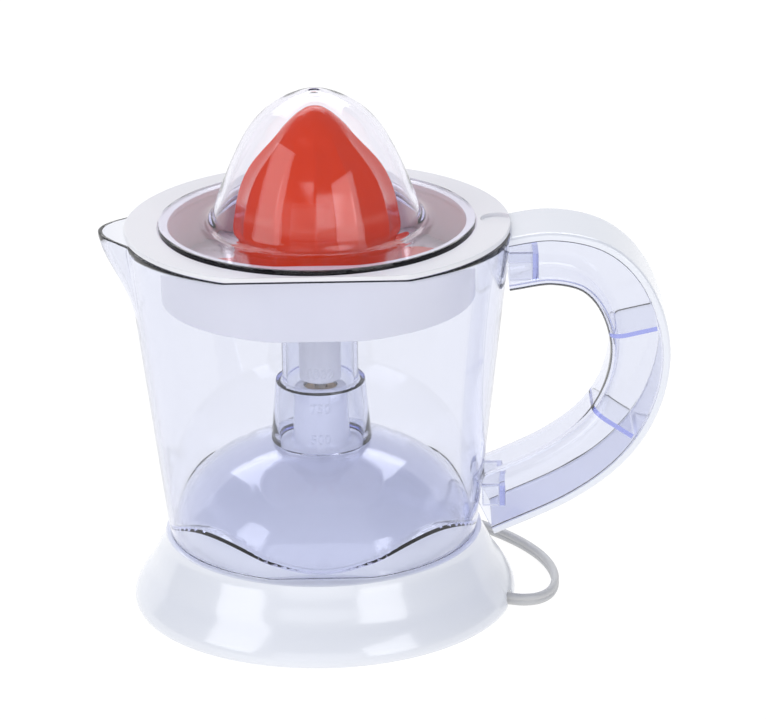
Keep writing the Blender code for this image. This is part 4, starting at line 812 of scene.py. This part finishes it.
def figure(text, height, radius):
    """A number raised from the chimney: flat letters wrapped round it, x as arc length."""
    letters = bpy.data.curves.new(f"scale_{text}", "FONT")
    letters.body = text
    letters.align_x = "CENTER"
    letters.align_y = "CENTER"
    letters.size = FIGURE_HEIGHT * 1.3
    letters.extrude = 0.5
    letters.resolution_u = 4
    holder = bpy.data.objects.new(f"scale_{text}", letters)
    bpy.context.scene.collection.objects.link(holder)
    mesh = bpy.data.meshes.new_from_object(holder.evaluated_get(bpy.context.evaluated_depsgraph_get()))
    bpy.data.objects.remove(holder)
    flat = np.zeros(len(mesh.vertices) * 3)
    mesh.vertices.foreach_get("co", flat)
    flat = flat.reshape(-1, 3)
    out = radius + FIGURE_RELIEF * (flat[:, 2] + 0.5) + 0.02 * MM
    angle = -pi / 2 + flat[:, 0] / radius
    curved = np.column_stack([AXIS + out * np.cos(angle), out * np.sin(angle), height * MM + flat[:, 1]])
    mesh.vertices.foreach_set("co", curved.ravel())
    weld(mesh)
    return fit(piece_of(f"scale_{text}", mesh), lavender, "jug_body", "clear_lavender")


for text, height, radius in SCALE_MARKS:
    figure(text, height, radius)

# The handle: a clear channel, open on its outer side and stiffened by plates across it, that
# slides over two lugs on the jug, and a white strip that closes it.

HANDLE_WIDTH = 35.0 * MM
HANDLE_DEPTH = 25.4 * MM
HANDLE_WALL = 2.2 * MM
STRIP_THICKNESS = 3.2 * MM
HANDLE_REACH = 149.8 * MM
HANDLE_SPINE = [             # in millimetres, seen from the front, along the middle of the handle
    (80.0, 155.2), (100.0, 157.6), (118.5, 152.6), (131.0, 138.5), (137.0, 117.0),
    (133.6, 95.0), (122.0, 75.5), (101.5, 59.5), (69.0, 44.5),
]
SPINE_STEPS = 24
RIB_PLACES = (11 / 3, 17 / 3)    # counted in points of the spine

spine = np.array(HANDLE_SPINE) * MM
full_reach = HANDLE_REACH - HANDLE_DEPTH / 2
spread = smooth((spine[:, 0] - FOOT_RADIUS) / (full_reach - FOOT_RADIUS))
spine[:, 0] += (full_reach - spine[:, 0].max()) * spread
spine = through(spine, SPINE_STEPS)
lean = np.gradient(spine, axis=0)
lean /= np.linalg.norm(lean, axis=1, keepdims=True)
spine = np.column_stack([spine[:, 0], np.zeros(len(spine)), spine[:, 1]])
outward = np.column_stack([-lean[:, 1], np.zeros(len(spine)), lean[:, 0]])


def rails(outline):
    """Where each point of an outline runs along the handle, between its two meetings with the wall."""
    run = spine[:, None] + outward[:, None] * outline[None, :, :1]
    run = run + np.array((0, 1, 0)) * outline[None, :, 1:]
    wall = mix(FOOT_RADIUS, RIM_RADIUS, wall_share(run[..., 2])) + GAP
    clear = np.hypot(run[..., 0], run[..., 1]) - wall
    free = clear > 0
    count = len(spine)
    first = np.argmax(free, axis=0)
    last = count - 1 - np.argmax(free[::-1], axis=0)
    column = np.arange(run.shape[1])

    def crossing(inside, outside):
        """The place between two neighbouring points where a run meets the wall."""
        a, b = clear[inside, column], clear[outside, column]
        part = np.where(inside == outside, 0.0, a / np.where(a == b, 1, a - b))
        return inside + (outside - inside) * part

    start = crossing(np.maximum(first - 1, 0), first)
    end = crossing(np.minimum(last + 1, count - 1), last)
    place = mix(start, end, np.linspace(0, 1, 170)[:, None])
    whole = np.clip(place.astype(int), 0, count - 2)
    part = (place - whole)[..., None]
    return run[whole, column] * (1 - part) + run[whole + 1, column] * part


half, deep = HANDLE_WIDTH / 2, HANDLE_DEPTH / 2
mouth = deep - STRIP_THICKNESS - GAP
channel_corners = [
    (mouth, -half), (-deep, -half), (-deep, half), (mouth, half),
    (mouth, half - HANDLE_WALL), (-deep + HANDLE_WALL, half - HANDLE_WALL),
    (-deep + HANDLE_WALL, -half + HANDLE_WALL), (mouth, -half + HANDLE_WALL),
]
channel_ease = np.array((0.4, 8.5, 8.5, 0.4, 0.4, 6.5, 6.5, 0.4)) * MM
channel = moulding("handle_channel", rails(eased(channel_corners, channel_ease, 9)), loop=False)


def capped(piece):
    """Close the open ends of a piece with a face each."""
    bm = bmesh.new()
    bm.from_mesh(piece.data)
    open_edges = [edge for edge in bm.edges if edge.is_boundary]
    made = bmesh.ops.holes_fill(bm, edges=open_edges, sides=0)
    bmesh.ops.triangulate(bm, faces=made["faces"])
    bmesh.ops.recalc_face_normals(bm, faces=bm.faces)
    bm.to_mesh(piece.data)
    bm.free()
    return piece


def combined(piece, others, operation):
    """Join others to a piece, or cut them from it, and keep the result in its mesh."""
    for other in others:
        change = piece.modifiers.new("join", "BOOLEAN")
        change.operation = operation
        change.solver = "EXACT"
        change.object = other
    bpy.context.view_layer.update()
    result = bpy.data.meshes.new_from_object(piece.evaluated_get(bpy.context.evaluated_depsgraph_get()))
    piece.modifiers.clear()
    piece.data = result
    for other in others:
        bpy.data.objects.remove(other)
    result.shade_smooth()
    result.set_sharp_from_angle(angle=radians(35))
    return piece


def plate(place):
    """A stiffening plate across the channel, 2 mm thick, let into its wall."""
    index = int(round(place * SPINE_STEPS))
    sunk = HANDLE_WALL * 0.4
    side, back = half - sunk, sunk - deep
    outline = eased([(mouth - MM, -side), (back, -side), (back, side), (mouth - MM, side)],
        np.array((0.2, 8.0, 8.0, 0.2)) * MM, 9)
    run = np.array((lean[index, 0], 0, lean[index, 1]))
    body = spine[index] + outward[index] * outline[:, :1] + np.array((0, 1, 0)) * outline[:, 1:]
    return moulding("plate", np.stack([body - run * MM, body + run * MM]), loop=False, ends=True)


combined(capped(channel), [plate(place) for place in RIB_PLACES], "UNION")
fit(channel, lavender, "jug_body", "clear_lavender", "handle_frame")

strip_corners = [(mouth + GAP, -half), (deep, -half), (deep, half), (mouth + GAP, half)]
strip_outline = eased(strip_corners, np.array((0.3, 2.4, 2.4, 0.3)) * MM, 7)
strip = moulding("handle_strip", rails(strip_outline), loop=False, ends=True)
fit(strip, white_gloss, "jug_body", "white_gloss", "handle_cover")

LUG_WALL = 2.4 * MM
LUGS = (("handle_lug_top", 154.0, 6.0, 13.5), ("handle_lug_low", 49.5, 4.5, 11.0))
for name, height, tall, reach in LUGS:
    near = wall_radius(0.0, height * MM) + 0.1 * MM
    far = near + (reach - 1.1) * MM
    wide = half - HANDLE_WALL - 2.6 * MM
    lug_outline = eased([
        (near, -wide), (far, -wide), (far, wide), (near, wide), (near, wide - LUG_WALL),
        (far - LUG_WALL, wide - LUG_WALL), (far - LUG_WALL, LUG_WALL - wide), (near, LUG_WALL - wide)],
        0.5 * MM, 4)
    levels = height * MM + tall * MM * np.array((-1, -0.94, 0.94, 1))
    lug_grid = np.stack([np.insert(lug_outline, 2, level, axis=1) for level in levels])
    lug = combined(capped(moulding(name, lug_grid, loop=False)), [], "UNION")
    fit(lug, lavender, "jug_body", "clear_lavender")


# The strainer: one white moulding that hangs in the jug. A flat collar lies on the rim, with a
# recess for the cover and a thumb scoop by the handle; below it a drum with a slotted floor and
# the hub that stands round the chimney.

COLLAR_RADIUS = 82.3 * MM
COLLAR_FLAT = 68.9 * MM
COLLAR_THICKNESS = 2.1 * MM
RECESS_RADIUS = 68.0 * MM
RECESS_DEPTH = 0.9 * MM
DRUM_RADIUS = 67.3 * MM
DRUM_FLAT = 61.0 * MM
DRUM_WALL = 2.0 * MM
DRUM_BOTTOM = 139.6 * MM
SIEVE_HEIGHT = 145.2 * MM
SIEVE_THICKNESS = 2.3 * MM
SIEVE_SLOTS = 16
HUB_TOP = 157.0 * MM
collar_bottom = RIM_HEIGHT + GAP
collar_top = collar_bottom + COLLAR_THICKNESS
hub_inner = CHIMNEY_NECK + SLIP
hub_outer = hub_inner + 2.0 * MM


def shell(rows):
    """A grid from rows of (radius, distance to the flat front, squash, height)."""
    radius, flat, squash, height = (rows[:, i:i + 1] for i in range(4))
    angle = plan_angles(corner_angle(radius, flat, squash))
    return placed(angle, plan(angle, radius, flat, squash), height)


def collar_row(inset, height):
    return COLLAR_RADIUS - inset, COLLAR_FLAT - inset, FRONT_SQUASH, height


def drum_row(inset, height):
    return DRUM_RADIUS - inset, DRUM_FLAT - inset, FRONT_SQUASH, height


def round_row(radius, height):
    return radius, radius * 1.2, 1.0, height


strainer_rows = eased([
    round_row(RECESS_RADIUS, collar_top), collar_row(0, collar_top), collar_row(0, collar_bottom),
    drum_row(0, collar_bottom), drum_row(0, DRUM_BOTTOM), drum_row(DRUM_WALL, DRUM_BOTTOM),
    drum_row(DRUM_WALL, collar_bottom - 3 * MM), drum_row(DRUM_WALL + 1.7 * MM, collar_bottom - 1 * MM),
    drum_row(DRUM_WALL + 1.7 * MM, collar_top - RECESS_DEPTH),
    round_row(RECESS_RADIUS, collar_top - RECESS_DEPTH),
], np.array((0.25, 0.55, 0.3, 0.5, 0.5, 0.5, 1.0, 1.0, 0.3, 0.2)) * MM, 5)
collar = moulding("strainer_bowl", shell(strainer_rows))
scoop_turn = np.arange(96) * 2 * pi / 96
scoop_profile = np.array([(6.4, -1.25), (7.2, -0.4), (7.6, 1.5)]) * MM
scoop_grid = placed(scoop_turn[None], scoop_profile[:, :1], scoop_profile[:, 1:])
scoop_grid += (COLLAR_RADIUS - 5.5 * MM, 2 * MM, collar_top)
combined(collar, [moulding("scoop", scoop_grid, loop=False, ends=True)], "DIFFERENCE")
fit(collar, white_satin, "strainer_body", "white_satin", "strainer")


def sieve():
    """The bowl's floor: sectors of a flat ring whose middle columns lie on a slot's two sides.

    Across a sector, the slot's half angle is the one whose arc is 0.9 mm at each radius; the rest
    of the columns share what is left.  The faces within the slots are left out.
    """
    slot_half, slot_start, slot_end = 0.9 * MM, hub_outer + 4 * MM, DRUM_FLAT - DRUM_WALL - 3 * MM
    sector = 2 * pi / SIEVE_SLOTS
    radial = np.concatenate([np.linspace(hub_inner, slot_start, 5)[:-1],
        np.linspace(slot_start, slot_end, 30), [1.0]])
    count = len(radial)
    middle = (np.arange(SIEVE_SLOTS) + 0.5) * sector
    edge = np.arcsin(slot_half / np.minimum(radial, slot_end))[:, None, None]
    side = np.array([-1, -0.6, -0.3])[None, None, :]
    left = -sector / 2 + (sector / 2 - edge) * (1 + side)
    offsets = np.concatenate([
        left, -edge, np.zeros_like(edge), edge,
        edge + (sector / 2 - edge) * np.array([0.3, 0.7])[None, None, :]], -1)
    angle = (middle[None, :, None] + offsets).reshape(count, -1)
    distance = np.broadcast_to(radial[:, None], angle.shape).copy()
    distance[-1] = plan(angle[-1], DRUM_RADIUS - DRUM_WALL * 0.6, DRUM_FLAT - DRUM_WALL * 0.6, FRONT_SQUASH)
    points = placed(angle, distance, SIEVE_HEIGHT + SIEVE_THICKNESS)
    columns = angle.shape[1]
    corner = np.arange(count * columns).reshape(count, columns)
    corner = np.hstack([corner, corner[:, :1]])
    quads = np.stack([corner[:-1, :-1], corner[1:, :-1], corner[1:, 1:], corner[:-1, 1:]], -1)
    per = offsets.shape[-1]
    in_slot = np.zeros(quads.shape[:2], bool)
    rows = (radial[:-1] >= slot_start - 1e-9) & (radial[:-1] < slot_end - 1e-9)
    kinds = np.arange(columns) % per
    in_slot[np.ix_(rows, (kinds == 3) | (kinds == 4))] = True
    mesh = bpy.data.meshes.new("strainer_sieve")
    mesh.from_pydata((points.reshape(-1, 3) + (AXIS, 0, 0)).tolist(), [], quads[~in_slot].tolist())
    made = piece_of("strainer_sieve", mesh, 30)
    wall = made.modifiers.new("wall", "SOLIDIFY")
    wall.thickness = SIEVE_THICKNESS
    wall.offset = -1.0
    return made


fit(sieve(), white_satin, "strainer_body", "white_satin")
hub_profile = eased([
    (hub_outer, HUB_TOP), (hub_outer, SIEVE_HEIGHT + 0.1 * MM), (hub_inner, SIEVE_HEIGHT + 0.1 * MM),
    (hub_inner, HUB_TOP)], 0.5 * MM)
hub_turn = np.arange(120)[None] * 2 * pi / 120
hub = moulding("strainer_hub", placed(hub_turn, hub_profile[:, :1], hub_profile[:, 1:]))
fit(hub, white_satin, "strainer_body", "white_satin")


# The pulp sweeper: a flat orange ring with two broad arms that turns with the cone, just above
# the strainer's floor, driven by two lugs under the cone's skirt.

REAMER_SKIRT = 36.0 * MM
SWEEPER_REACH = 57.5 * MM
SWEEPER_THICKNESS = 2.4 * MM
SWEEPER_ANGLE = radians(8)
ARM_HALF = 17.0 * MM
ARM_SHOULDER = 46.0 * MM     # where the arm's sides start to close in
ARM_TIP = 55.5 * MM
ARM_TIP_HALF = 10.0 * MM
sweeper_bottom = SIEVE_HEIGHT + SIEVE_THICKNESS + GAP
sweeper_turn = np.arange(480) * 2 * pi / 480
arm_turn = np.abs((sweeper_turn - SWEEPER_ANGLE + pi / 2) % pi - pi / 2)
arm_side = ARM_HALF / np.maximum(np.sin(arm_turn), 0.05)
slope = (ARM_TIP_HALF - ARM_HALF) / (ARM_TIP - ARM_SHOULDER)
arm_end = (ARM_HALF - slope * ARM_SHOULDER) / np.maximum(np.sin(arm_turn) - slope * np.cos(arm_turn), 0.05)
arm = soft_least(soft_least(arm_side, arm_end, 0.6 * MM), SWEEPER_REACH + 0.3 * MM, 0.6 * MM)
sweeper_edge = -soft_least(-arm, -REAMER_SKIRT - 1.5 * MM, 0.8 * MM)
sweeper_section = eased([(0, 1), (1, 1), (1, 0), (0, 0)], 0.012, 5)
sweeper_inner = hub_outer + SLIP
edge_share = sweeper_section[:, :1]
sweeper_grid = placed(
    sweeper_turn[None], mix(sweeper_inner, sweeper_edge[None], edge_share),
    sweeper_bottom + SWEEPER_THICKNESS * sweeper_section[:, 1:])
orange = moulded("orange_plastic", (0.72, 0.040, 0.002), 0.14, peel_scale=700)
fit(moulding("sweeper", sweeper_grid), orange, "sweeper_body", "orange", "pulp_sweeper")

# The cone: orange like the sweeper, with a smooth nose, twelve shallow flutes that meet in
# ridges, and a smooth skirt; hollow, with a six-sided socket for the dog.

SOCKET_TOP = 190.0 * MM
RIDGES = 12
RIDGE_EASE = radians(0.7)
FLUTE_SHARE = 1.5            # of the depth that would make the flutes flat, so they are a little hollow
REAMER_OUTLINE = [           # radius and height of the ridges, in millimetres, from the nose down
    (0.0, 222.6), (4.6, 221.2), (10.9, 216.4), (18.0, 208.4), (23.4, 202.6), (28.0, 196.8), (31.5, 190.0),
    (34.0, 182.0), (35.2, 174.0), (36.0, 165.5),
]

ridge_line = through(np.array(REAMER_OUTLINE) * MM, 12)[1:]
reamer_turn = np.arange(480) * 2 * pi / 480 - pi / 2
from_ridge = np.abs((reamer_turn + pi / 2 + pi / RIDGES) % (2 * pi / RIDGES) - pi / RIDGES)
from_ridge = np.sqrt(from_ridge ** 2 + RIDGE_EASE ** 2)
flat_side = cos(pi / RIDGES) / np.cos(pi / RIDGES - from_ridge)
height = ridge_line[:, 1:2]
fluted = smooth((214.0 * MM - height) / (5.0 * MM)) * smooth((height - 166.5 * MM) / (5.0 * MM))
cone = placed(reamer_turn[None], ridge_line[:, :1] * (1 - FLUTE_SHARE * fluted * (1 - flat_side)), height)
skirt_profile = np.array([
    (36.0, 160.0), (36.0, 154.4), (35.6, 153.9), (34.4, 153.9), (34.0, 154.3), (33.9, 160.0), (33.4, 168.0),
    (29.0, 184.0),
    (22.0, 192.5), (12.0, 197.0), (9.6, 196.0), (8.6, 193.0), (8.6, 170.0), (8.6, 152.4), (8.2, 151.9),
]) * MM
bore = (DOG_RADIUS + 0.45 * MM) * hexagon(reamer_turn)[None]
socket = placed(reamer_turn[None], bore, np.array([[151.9 * MM], [SOCKET_TOP]]))
skirt = placed(reamer_turn[None], skirt_profile[:, :1], skirt_profile[:, 1:])
reamer = moulding("cone", np.concatenate([cone, skirt, socket]), loop=False, ends=True, sharp=50)
fit(reamer, orange, "reamer_body", "orange", "reamer")


# The dust cover: a clear moulding like the jug. A flange drops into the collar's recess and
# sweeps up into a tall dome 230 mm high, with the small round mark of its gate on top.

COVER_RADIUS = 67.6 * MM
COVER_TOP = 230.0 * MM
flange_low = RIM_HEIGHT + GAP + COLLAR_THICKNESS - RECESS_DEPTH + GAP
flange_high = flange_low + 2.6 * MM
COVER_OUTSIDE = np.array([   # radius, and height above the flange, in millimetres
    (3.0, 56.85), (8.0, 55.7), (15.0, 52.4), (22.0, 47.4), (28.5, 40.0), (34.0, 30.0), (38.6, 19.5),
    (41.8, 11.0),
    (44.2, 4.2), (46.2, 1.6), (49.6, 0.15), (54.0, 0.0),
]) * MM
COVER_INSIDE = np.array([
    (48.0, -2.5), (44.6, -1.3), (42.0, 4.2), (39.6, 10.4), (36.6, 18.8), (32.2, 29.0), (27.0, 38.6),
    (20.8, 45.8),
    (14.2, 50.5), (7.6, 53.8), (3.0, 54.8),
]) * MM
outside = through(COVER_OUTSIDE, 8) + (0, flange_high)
inside = through(COVER_INSIDE, 8) + (0, flange_high)
gate = np.array([(0.05 * MM, COVER_TOP - 0.5 * MM), (2.1 * MM, COVER_TOP - 0.5 * MM),
    (2.4 * MM, COVER_TOP - 0.05 * MM)])
flange = [
    (COVER_RADIUS - 1.2 * MM, flange_high), (COVER_RADIUS - 0.9 * MM, flange_high),
    (COVER_RADIUS - 0.25 * MM, flange_high - 0.25 * MM),
    (COVER_RADIUS, flange_high - 0.9 * MM), (COVER_RADIUS, flange_low + 0.3 * MM),
    (COVER_RADIUS - 0.3 * MM, flange_low),
    (COVER_RADIUS - 0.6 * MM, flange_low), (51.0 * MM, flange_low), (49.5 * MM, flange_low + 0.02 * MM),
]
cover_profile = np.vstack([gate, outside, flange, inside])
cover_turn = np.arange(320)[None] * 2 * pi / 320
cover_grid = placed(cover_turn, cover_profile[:, :1], cover_profile[:, 1:])
cover = moulding("cover", cover_grid, loop=False, ends=True, sharp=30)
clear = clear_plastic(
    "clear_cover_plastic", (0.985, 0.985, 0.99), (0.99, 0.99, 1.0), (0.45, 0.38, 0.85), 26.0, 1.32)
fit(cover, clear, "cover_body", "clear_lavender", "dust_cover")

bpy.context.view_layer.update()
